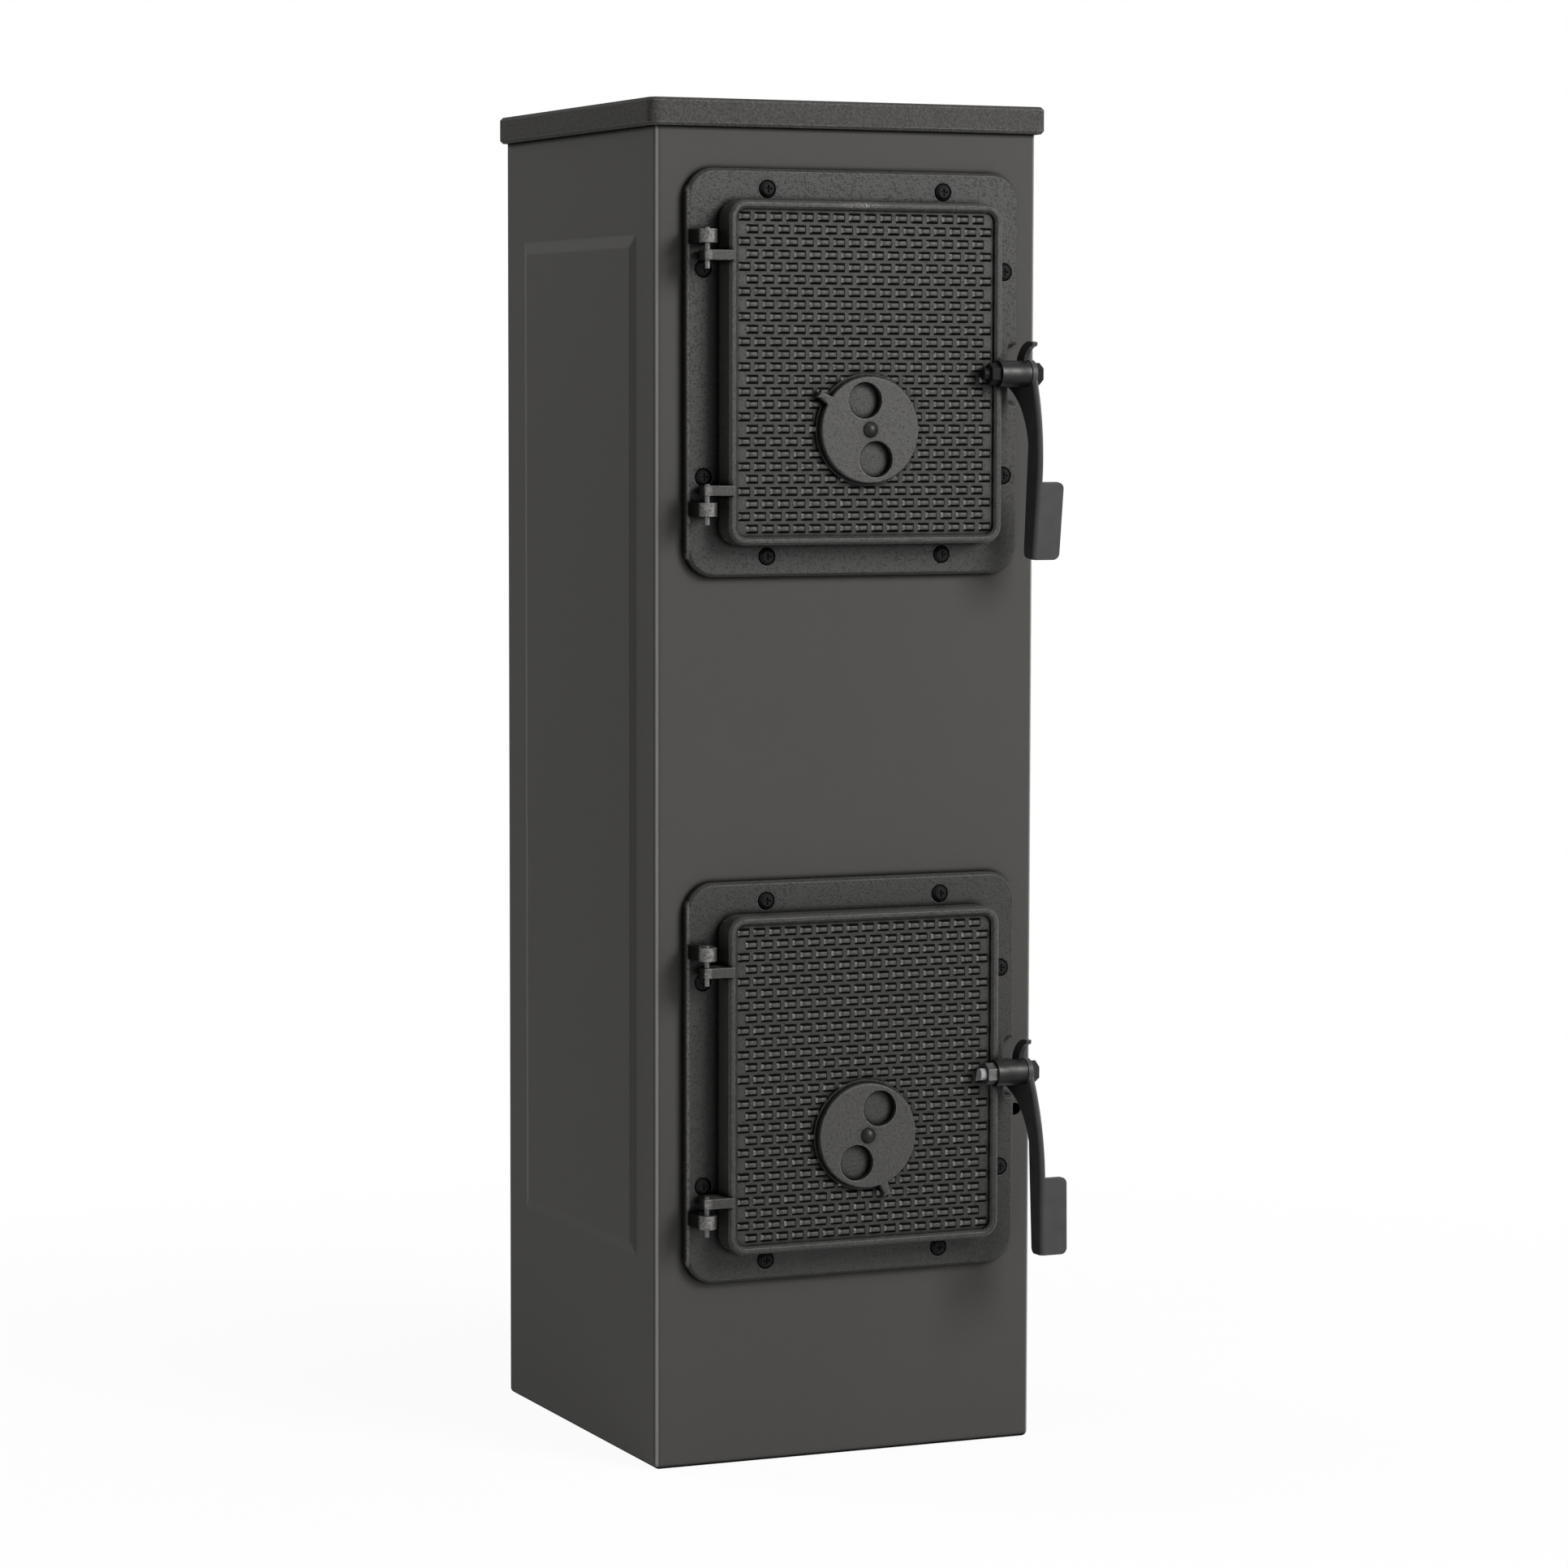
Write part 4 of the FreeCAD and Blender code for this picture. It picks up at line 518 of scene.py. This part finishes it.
def zinc_plate(colour):
    """Plated steel: pale crystals of slightly different sheen."""
    finish = Finish(bpy.data.materials.new("zinc_plate"))
    place = finish.place()
    crystal = finish.cells(place, per_metre=160.0)
    smear = finish.noise(place, per_metre=60.0, detail=4.0)
    rounded = finish.rounded(0.0007)
    tone = finish.blend(crystal, shade(colour, 0.8), shade(colour, 1.1))
    tone = finish.blend(finish.between(smear, none=0.5, full=0.8) * 0.5, tone, shade(colour, 0.55))
    return finish.surface(Base_Color=tone, Roughness=0.3 + 0.14 * crystal + 0.15 * smear, Metallic=0.95,
                          Normal=finish.bump(smear, 0.00003, rounded))


def fired_clay(colour):
    """Firebrick: buff clay with grog specks, pits and smoke in patches."""
    finish = Finish(bpy.data.materials.new("fired_clay"))
    place = finish.place()
    grog = finish.cells(place, per_metre=260.0)
    body = finish.noise(place, per_metre=45.0, detail=5.0, rough=0.6)
    pit = finish.between(finish.noise(place, per_metre=330.0), none=0.62, full=0.75)
    rounded = finish.rounded(0.002)
    tone = finish.blend(body, shade(colour, 0.78), shade(colour, 1.15))
    tone = finish.blend(finish.between(grog, none=0.16, full=0.08) * 0.5, tone, shade(colour, 0.55))
    tone = finish.blend(finish.between(body, none=0.5, full=0.75) * 0.5, tone, SMOKE)
    return finish.surface(Base_Color=finish.blend(pit * 0.5, tone, shade(colour, 0.4)), Roughness=0.9,
                          Normal=finish.bump(body * 0.6 - pit * 0.4, 0.0004, rounded))


def mineral_rope(colour):
    """Mineral-fibre rope: fuzzy pale yarn, greyed by smoke."""
    finish = Finish(bpy.data.materials.new("mineral_rope"))
    place = finish.place()
    yarn = finish.noise(place, per_metre=1500.0, detail=3.0)
    smoke = finish.noise(place, per_metre=30.0, detail=3.0)
    tone = finish.blend(yarn, shade(colour, 0.7), shade(colour, 1.1))
    tone = finish.blend(finish.between(smoke, none=0.45, full=0.7) * 0.6, tone, shade(colour, 0.35))
    return finish.surface(Base_Color=tone, Roughness=0.95, Normal=finish.bump(yarn, 0.0001))


def dress(material, *nodes):
    """Give CAD nodes a finish."""
    for name in nodes:
        mesh = frame["nodes"][name].data
        mesh.materials.clear()
        mesh.materials.append(material)


# Surfaces

def middle(name):
    """Middle of a CAD node's box."""
    low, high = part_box(name)
    return (low + high) / 2


def quads(rows, columns, closed=False):
    """Corner numbers of the cells of a grid of points, as an array of four columns.

    In a closed grid the last row joins the first, and the last column joins the first.
    """
    row = np.arange(rows if closed else rows - 1)[:, None]
    column = np.arange(columns if closed else columns - 1)[None, :]
    next_row, next_column = (row + 1) % rows, (column + 1) % columns
    corners = (row * columns + column, row * columns + next_column,
               next_row * columns + next_column, next_row * columns + column)
    return np.stack(np.broadcast_arrays(*corners), axis=-1).reshape(-1, 4)


def surface_piece(name, points, faces, material, body):
    """A smooth mesh from arrays of points and faces, riding on a body."""
    mesh = bpy.data.meshes.new(name)
    mesh.from_pydata(points.reshape(-1, 3), [], faces)
    mesh.polygons.foreach_set("use_smooth", np.ones(len(faces), dtype=bool))
    mesh.materials.append(material)
    mesh.update()
    piece = bpy.data.objects.new(name, mesh)
    bpy.context.scene.collection.objects.link(piece)
    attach(piece, body)
    return piece


def door_panel(tread):
    """Level of the doors' panels, front to back; both doors are alike."""
    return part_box("upper_damper")[1].y + tread.panel_gap


def brick_places(tread, door, disc):
    """Middles of the bricks, across and up, from the middles of the door and of its air disc.

    Rows run half a pitch out of step, and no brick lies wholly under the disc's seat.
    """
    column = (np.arange(tread.columns) - (tread.columns - 1) / 2) * tread.pitch_across
    row = (np.arange(tread.rows) - (tread.rows - 1) / 2) * tread.pitch_up
    step = np.where(np.arange(tread.rows) % 2, -tread.pitch_across / 4, tread.pitch_across / 4)
    x = (disc.x + column[None, :] + step[:, None]).ravel()
    z = np.repeat(door.z + row, tread.columns)
    far = np.hypot(np.abs(x - disc.x) + tread.length / 2, np.abs(z - disc.z) + tread.height / 2)
    return x[far > tread.seat], z[far > tread.seat]


def brick_surface(tread):
    """One brick as a grid: its height is the rise times a smooth step up each end and each side.

    The smooth step is t squared times (3 - 2t), where t goes from 0 at a slope's foot to 1 at its top.
    """
    across = np.concatenate((SLOPE_STEPS * tread.end_slope,
                             tread.length - SLOPE_STEPS[::-1] * tread.end_slope))
    up = np.concatenate((SLOPE_STEPS * tread.side_slope,
                         tread.height - SLOPE_STEPS[::-1] * tread.side_slope))
    climb = np.concatenate((SLOPE_STEPS, SLOPE_STEPS[::-1]))
    climb = climb ** 2 * (3 - 2 * climb)
    height = tread.rise * climb[:, None] * climb[None, :]
    return np.stack(np.broadcast_arrays((across - tread.length / 2)[None, :], -height,
                                        (up - tread.height / 2)[:, None]), axis=-1)


def brick_share(brick, tread):
    """Place of each point of a brick as shares of its length and height, for the paint."""
    return brick[..., [0, 2]] / (tread.length, tread.height) + 0.5


def rounded_path(half_across, half_up, corner, count):
    """Way, points and outward angles along a rectangle with round corners.

    A point is a corner's centre plus the corner radius times the outward direction. Along a side the
    centre moves and the direction holds, and round a corner the centre holds and the direction turns,
    both evenly on the way.
    """
    a, b = half_across - corner, half_up - corner
    side_up, side_across, bend = 2 * b, 2 * a, corner * math.pi / 2
    way = np.concatenate(([0], np.cumsum([side_up, bend, side_across, bend] * 2)))
    along = np.linspace(0, way[-1], count, endpoint=False)
    x = np.interp(along, way, [a, a, a, -a, -a, -a, -a, a, a])
    z = np.interp(along, way, [-b, b, b, b, b, -b, -b, -b, -b])
    turn = np.interp(along, way, np.array([0, 0, 1, 1, 2, 2, 3, 3, 4]) * math.pi / 2)
    return along, x + corner * np.cos(turn), z + corner * np.sin(turn), turn


def rope_surface(rope, low, high):
    """A closed rope in a door's groove: an oval carried along a rounded rectangle, swollen by its strands.

    The swelling is the larger of two cosines, of half the strands times the angle round the rope, plus
    and minus the way along it.
    """
    centre, half = (low + high) / 2, (high - low) / 2
    length = 4 * (half.x + half.z)
    along, x, z, turn = rounded_path(half.x - rope.width / 2, half.z - rope.width / 2, rope.corner,
                                     int(length / rope.plait * ROPE_STEPS))
    angle = np.linspace(0, 2 * math.pi, ROPE_SIDES, endpoint=False)
    twist = 2 * math.pi / rope.plait * along[:, None]
    strand = np.maximum(np.cos(rope.strands / 2 * angle + twist), np.cos(rope.strands / 2 * angle - twist))
    swell = 1 - rope.relief * (1 - strand) / 2
    outward = rope.width / 2 * np.cos(angle) * swell
    backward = half.y * np.sin(angle) * swell
    return np.stack((centre.x + x[:, None] + outward * np.cos(turn)[:, None],
                     centre.y + backward,
                     centre.z + z[:, None] + outward * np.sin(turn)[:, None]), axis=-1)


# Operators

class STOVE_OT_casing(bpy.types.Operator):
    """Paint the folded casing and the back"""
    bl_idname = "stove.casing"
    bl_label = "Casing"

    def execute(self, context):
        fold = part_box("casing")[0] + Vector((PANEL_RISE, 0, 0))
        dress(sheet_paint(context.scene.stove_colours.sheet, fold), "casing", "back_panel")
        return {"FINISHED"}


class STOVE_OT_castings(bpy.types.Operator):
    """Paint lid, frames, doors and air discs"""
    bl_idname = "stove.castings"
    bl_label = "Castings"

    def execute(self, context):
        colours = context.scene.stove_colours
        pin = middle("upper_hinge_pins")
        lid = CastingPaint("lid_paint", colours.lid, grain=0.0001, gloss=0.02, dull=0.6)
        dress(lid.material(), "lid")
        frame_paint = CastingPaint("frame_paint", colours.frame, grain=0.0003)
        frame_paint.mark_hinge_wear_and_light(pin, FRAME_HINGE_SHADE_START)
        frame_paint.paint_edge_highlight(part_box("upper_frame")[0].x, pin.y + PIN_REACH)
        dress(frame_paint.material(), "upper_frame", "lower_frame")
        dress(CastingPaint("disc_paint", colours.disc).material(), "upper_damper", "lower_damper")
        rubbed_and_lit = CastingPaint("rubbed_door_paint", colours.door)
        rubbed_and_lit.mark_hinge_wear_and_light(pin, DOOR_HINGE_SHADE_START)
        rubbed_and_lit.mark_scuff(Vector((middle("upper_door_seal").x + SCUFF_ASIDE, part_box("upper_door")[0].y,
                                  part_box("upper_door_seal")[1].z + SCUFF_ABOVE)))
        dress(rubbed_and_lit.material(), "upper_door")
        plain = CastingPaint("door_paint", colours.door)
        plain.mark_hinge_wear_and_light(pin, DOOR_HINGE_SHADE_START)
        dress(plain.material(), "lower_door")
        return {"FINISHED"}


class STOVE_OT_treads(bpy.types.Operator):
    """Lay the raised bricks on both doors"""
    bl_idname = "stove.treads"
    bl_label = "Door treads"

    def execute(self, context):
        tread = context.scene.stove_tread
        panel = door_panel(tread)
        paint = CastingPaint("tread_paint", context.scene.stove_colours.brick, grain=0.00015)
        paint.paint_brick_light_and_shade()
        cast = paint.material()
        brick = brick_surface(tread)
        cells = quads(*brick.shape[:2])
        for side in DOORWAYS:
            x, z = brick_places(tread, middle(f"{side}_door"), middle(f"{side}_damper_rivet"))
            spots = np.stack((x, np.full_like(x, panel), z), axis=-1)
            points = brick[None] + spots[:, None, None, :]
            faces = cells[None] + (np.arange(len(x)) * brick[..., 0].size)[:, None, None]
            faces = faces.reshape(-1, 4)
            laid = surface_piece(f"{side}_door_tread", points, faces, cast, f"{side}_door")
            share = np.tile(brick_share(brick, tread).reshape(-1, 2), (len(x), 1))
            laid.data.uv_layers.new(name="brick").uv.foreach_set("vector", share[faces.ravel()].ravel())
        return {"FINISHED"}


class STOVE_OT_seals(bpy.types.Operator):
    """Plait the rope seals of both doors"""
    bl_idname = "stove.seals"
    bl_label = "Rope seals"

    def execute(self, context):
        fibre = mineral_rope(context.scene.stove_colours.rope)
        for side in DOORWAYS:
            points = rope_surface(context.scene.stove_rope, *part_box(f"{side}_door_seal"))
            faces = quads(*points.shape[:2], closed=True)
            rope = surface_piece(f"{side}_rope_seal", points, faces, fibre, f"{side}_door")
            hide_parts(f"{side}_door_seal")
        return {"FINISHED"}


class STOVE_OT_fittings(bpy.types.Operator):
    """Finish hinge pins, latches, screws, nuts and the ash pan"""
    bl_idname = "stove.fittings"
    bl_label = "Fittings"

    def execute(self, context):
        colours = context.scene.stove_colours
        steel = turned_steel(colours.steel)
        barrel = turned_steel(colours.barrel, "barrel_steel")
        black = black_steel(colours.black)
        lever = black_steel(colours.lever, "lever_paint", gloss=0.17)
        zinc = zinc_plate(colours.zinc)
        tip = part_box("lower_latch_nut")[0].x
        # the lower bolt's tip is painted bright as a highlight
        bolt = black_steel(colours.barrel, "bolt_steel", tip=tip, bare=colours.zinc)
        for side in DOORWAYS:
            dress(steel, f"{side}_hinge_pins")
            dress(barrel, f"{side}_latch_barrel", f"{side}_damper_rivet")
            dress(lever, f"{side}_latch_lever")
            dress(black, f"{side}_frame_screws")
            dress(zinc, f"{side}_frame_nuts")
        dress(black, "upper_latch_bolt", "upper_latch_nut")
        dress(bolt, "lower_latch_bolt")
        dress(steel, "lower_latch_nut")
        dress(zinc, "flue_collar_screws", "ash_pan", "ash_pan_handle")
        return {"FINISHED"}


class STOVE_OT_fire_chamber(bpy.types.Operator):
    """Finish lining, grate, inner sheet and flue"""
    bl_idname = "stove.fire_chamber"
    bl_label = "Fire chamber"

    def execute(self, context):
        colours = context.scene.stove_colours
        clay = fired_clay(colours.firebrick)
        soot = soot_sheet(colours.soot)
        dress(clay, "firebrick_left", "firebrick_right", "firebrick_back", "firebrick_front")
        dress(bare_iron(colours.iron), "grate")
        dress(soot, "base_plate", "ash_shelf", "grate_ledge", "front_brick_shelf")
        dress(soot, "flue_collar", "flue_flange")
        return {"FINISHED"}


class STOVE_OT_stage(bpy.types.Operator):
    """Set up floor, lamps, background and camera"""
    bl_idname = "stove.stage"
    bl_label = "Stage"

    def execute(self, context):
        stage = context.scene.stove_stage
        self.floor()
        self.background(context.scene, stage)
        for name, (place, height, side) in LAMPS.items():
            self.lamp(f"{name}_lamp", Vector(place), Vector((0, 0, height)), side, getattr(stage, name))
        self.camera(context.scene, stage)
        context.scene.view_settings.view_transform = "Standard"
        return {"FINISHED"}

    def floor(self):
        """A pale floor that camera rays see mostly as white, so that a soft shadow stays."""
        finish = Finish(bpy.data.materials.new("pale_floor"))
        paper = finish.node("ShaderNodeBsdfDiffuse", sockets={"Color": PAPER})
        white = finish.node("ShaderNodeEmission", sockets={"Strength": 1.0})
        spot = finish.node("ShaderNodeTexCoord", output="Object")
        away = finish.node("ShaderNodeVectorMath", {"operation": "LENGTH"}, {0: spot}, output="Value")
        clear = finish.between(away, SHADOW_NEAR, SHADOW_FAR)
        share = self.seen(finish) * (FLOOR_WHITE + (1 - FLOOR_WHITE) * clear)
        mixed = finish.node("ShaderNodeMixShader", sockets={0: share, 1: paper, 2: white})
        finish.node("ShaderNodeOutputMaterial", sockets={"Surface": mixed})
        reach, level = FLOOR_REACH, CAD_BOX[0][2] - FLOOR_GAP
        mesh = bpy.data.meshes.new("floor")
        mesh.from_pydata([(-reach, -reach, level), (reach, -reach, level), (reach, reach, level),
                          (-reach, reach, level)], [], [(0, 1, 2, 3)])
        mesh.materials.append(finish.owner)
        floor = bpy.data.objects.new("floor", mesh)
        bpy.context.scene.collection.objects.link(floor)

    def seen(self, finish):
        """1 for rays from the camera, mirrors and glass."""
        camera, mirror, glass = [finish.node("ShaderNodeLightPath", output=name)
                                 for name in ("Is Camera Ray", "Is Glossy Ray", "Is Transmission Ray")]
        return finish.node("ShaderNodeClamp", sockets={"Value": camera + mirror + glass})

    def background(self, scene, stage):
        """White where it is seen, dimmer where it only lights."""
        scene.world = bpy.data.worlds.new("studio")
        finish = Finish(scene.world)
        strength = stage.ambient + (1 - stage.ambient) * self.seen(finish)
        light = finish.node("ShaderNodeBackground", sockets={"Color": WHITE, "Strength": strength})
        finish.node("ShaderNodeOutputWorld", sockets={"Surface": light})

    def lamp(self, name, place, aim, side, watts):
        """A square soft box that faces the stove."""
        light = bpy.data.lights.new(name, "AREA")
        light.size = side
        light.energy = watts
        lamp = bpy.data.objects.new(name, light)
        lamp.location = place
        lamp.rotation_euler = (aim - place).to_track_quat("-Z", "Y").to_euler()
        bpy.context.scene.collection.objects.link(lamp)

    def camera(self, scene, stage):
        """The photograph's camera, from its place, three angles and lens."""
        level = math.cos(stage.pitch)
        forward = Vector((math.sin(stage.yaw) * level, math.cos(stage.yaw) * level, -math.sin(stage.pitch)))
        right = Vector((math.cos(stage.yaw), -math.sin(stage.yaw), 0))
        up = right.cross(forward)
        turn = Matrix.Rotation(-stage.roll, 3, forward)
        lens = bpy.data.cameras.new("camera")
        lens.sensor_width = SENSOR_WIDTH
        lens.lens = stage.lens
        camera = bpy.data.objects.new("camera", lens)
        axes = Matrix((turn @ right, turn @ up, -forward)).transposed()
        camera.matrix_world = Matrix.Translation(stage.eye) @ axes.to_4x4()
        scene.collection.objects.link(camera)
        scene.camera = camera


OPERATORS = (STOVE_OT_casing, STOVE_OT_castings, STOVE_OT_treads, STOVE_OT_seals, STOVE_OT_fittings,
             STOVE_OT_fire_chamber, STOVE_OT_stage)
SETTINGS = {"stove_tread": StoveTread, "stove_rope": StoveRope, "stove_colours": StoveColours,
            "stove_stage": StoveStage}


class STOVE_PT_panel(bpy.types.Panel):
    """Buttons and settings of the stove"""
    bl_idname = "STOVE_PT_panel"
    bl_label = "Workshop stove"
    bl_space_type = "VIEW_3D"
    bl_region_type = "UI"
    bl_category = "Stove"

    def draw(self, context):
        for operator in OPERATORS:
            self.layout.operator(operator.bl_idname)
        for name, group in SETTINGS.items():
            box = self.layout.box()
            for setting in group.__annotations__:
                box.prop(getattr(context.scene, name), setting)


CLASSES = (*SETTINGS.values(), *OPERATORS, STOVE_PT_panel)


def register():
    for kind in CLASSES:
        bpy.utils.register_class(kind)
    for name, group in SETTINGS.items():
        setattr(bpy.types.Scene, name, PointerProperty(type=group))


def unregister():
    for name in SETTINGS:
        delattr(bpy.types.Scene, name)
    for kind in reversed(CLASSES):
        bpy.utils.unregister_class(kind)


def main():
    """Dress the stove and set the stage."""
    register()
    for operator in OPERATORS:
        group, name = operator.bl_idname.split(".")
        getattr(getattr(bpy.ops, group), name)()


if __name__ == "__main__":
    main()
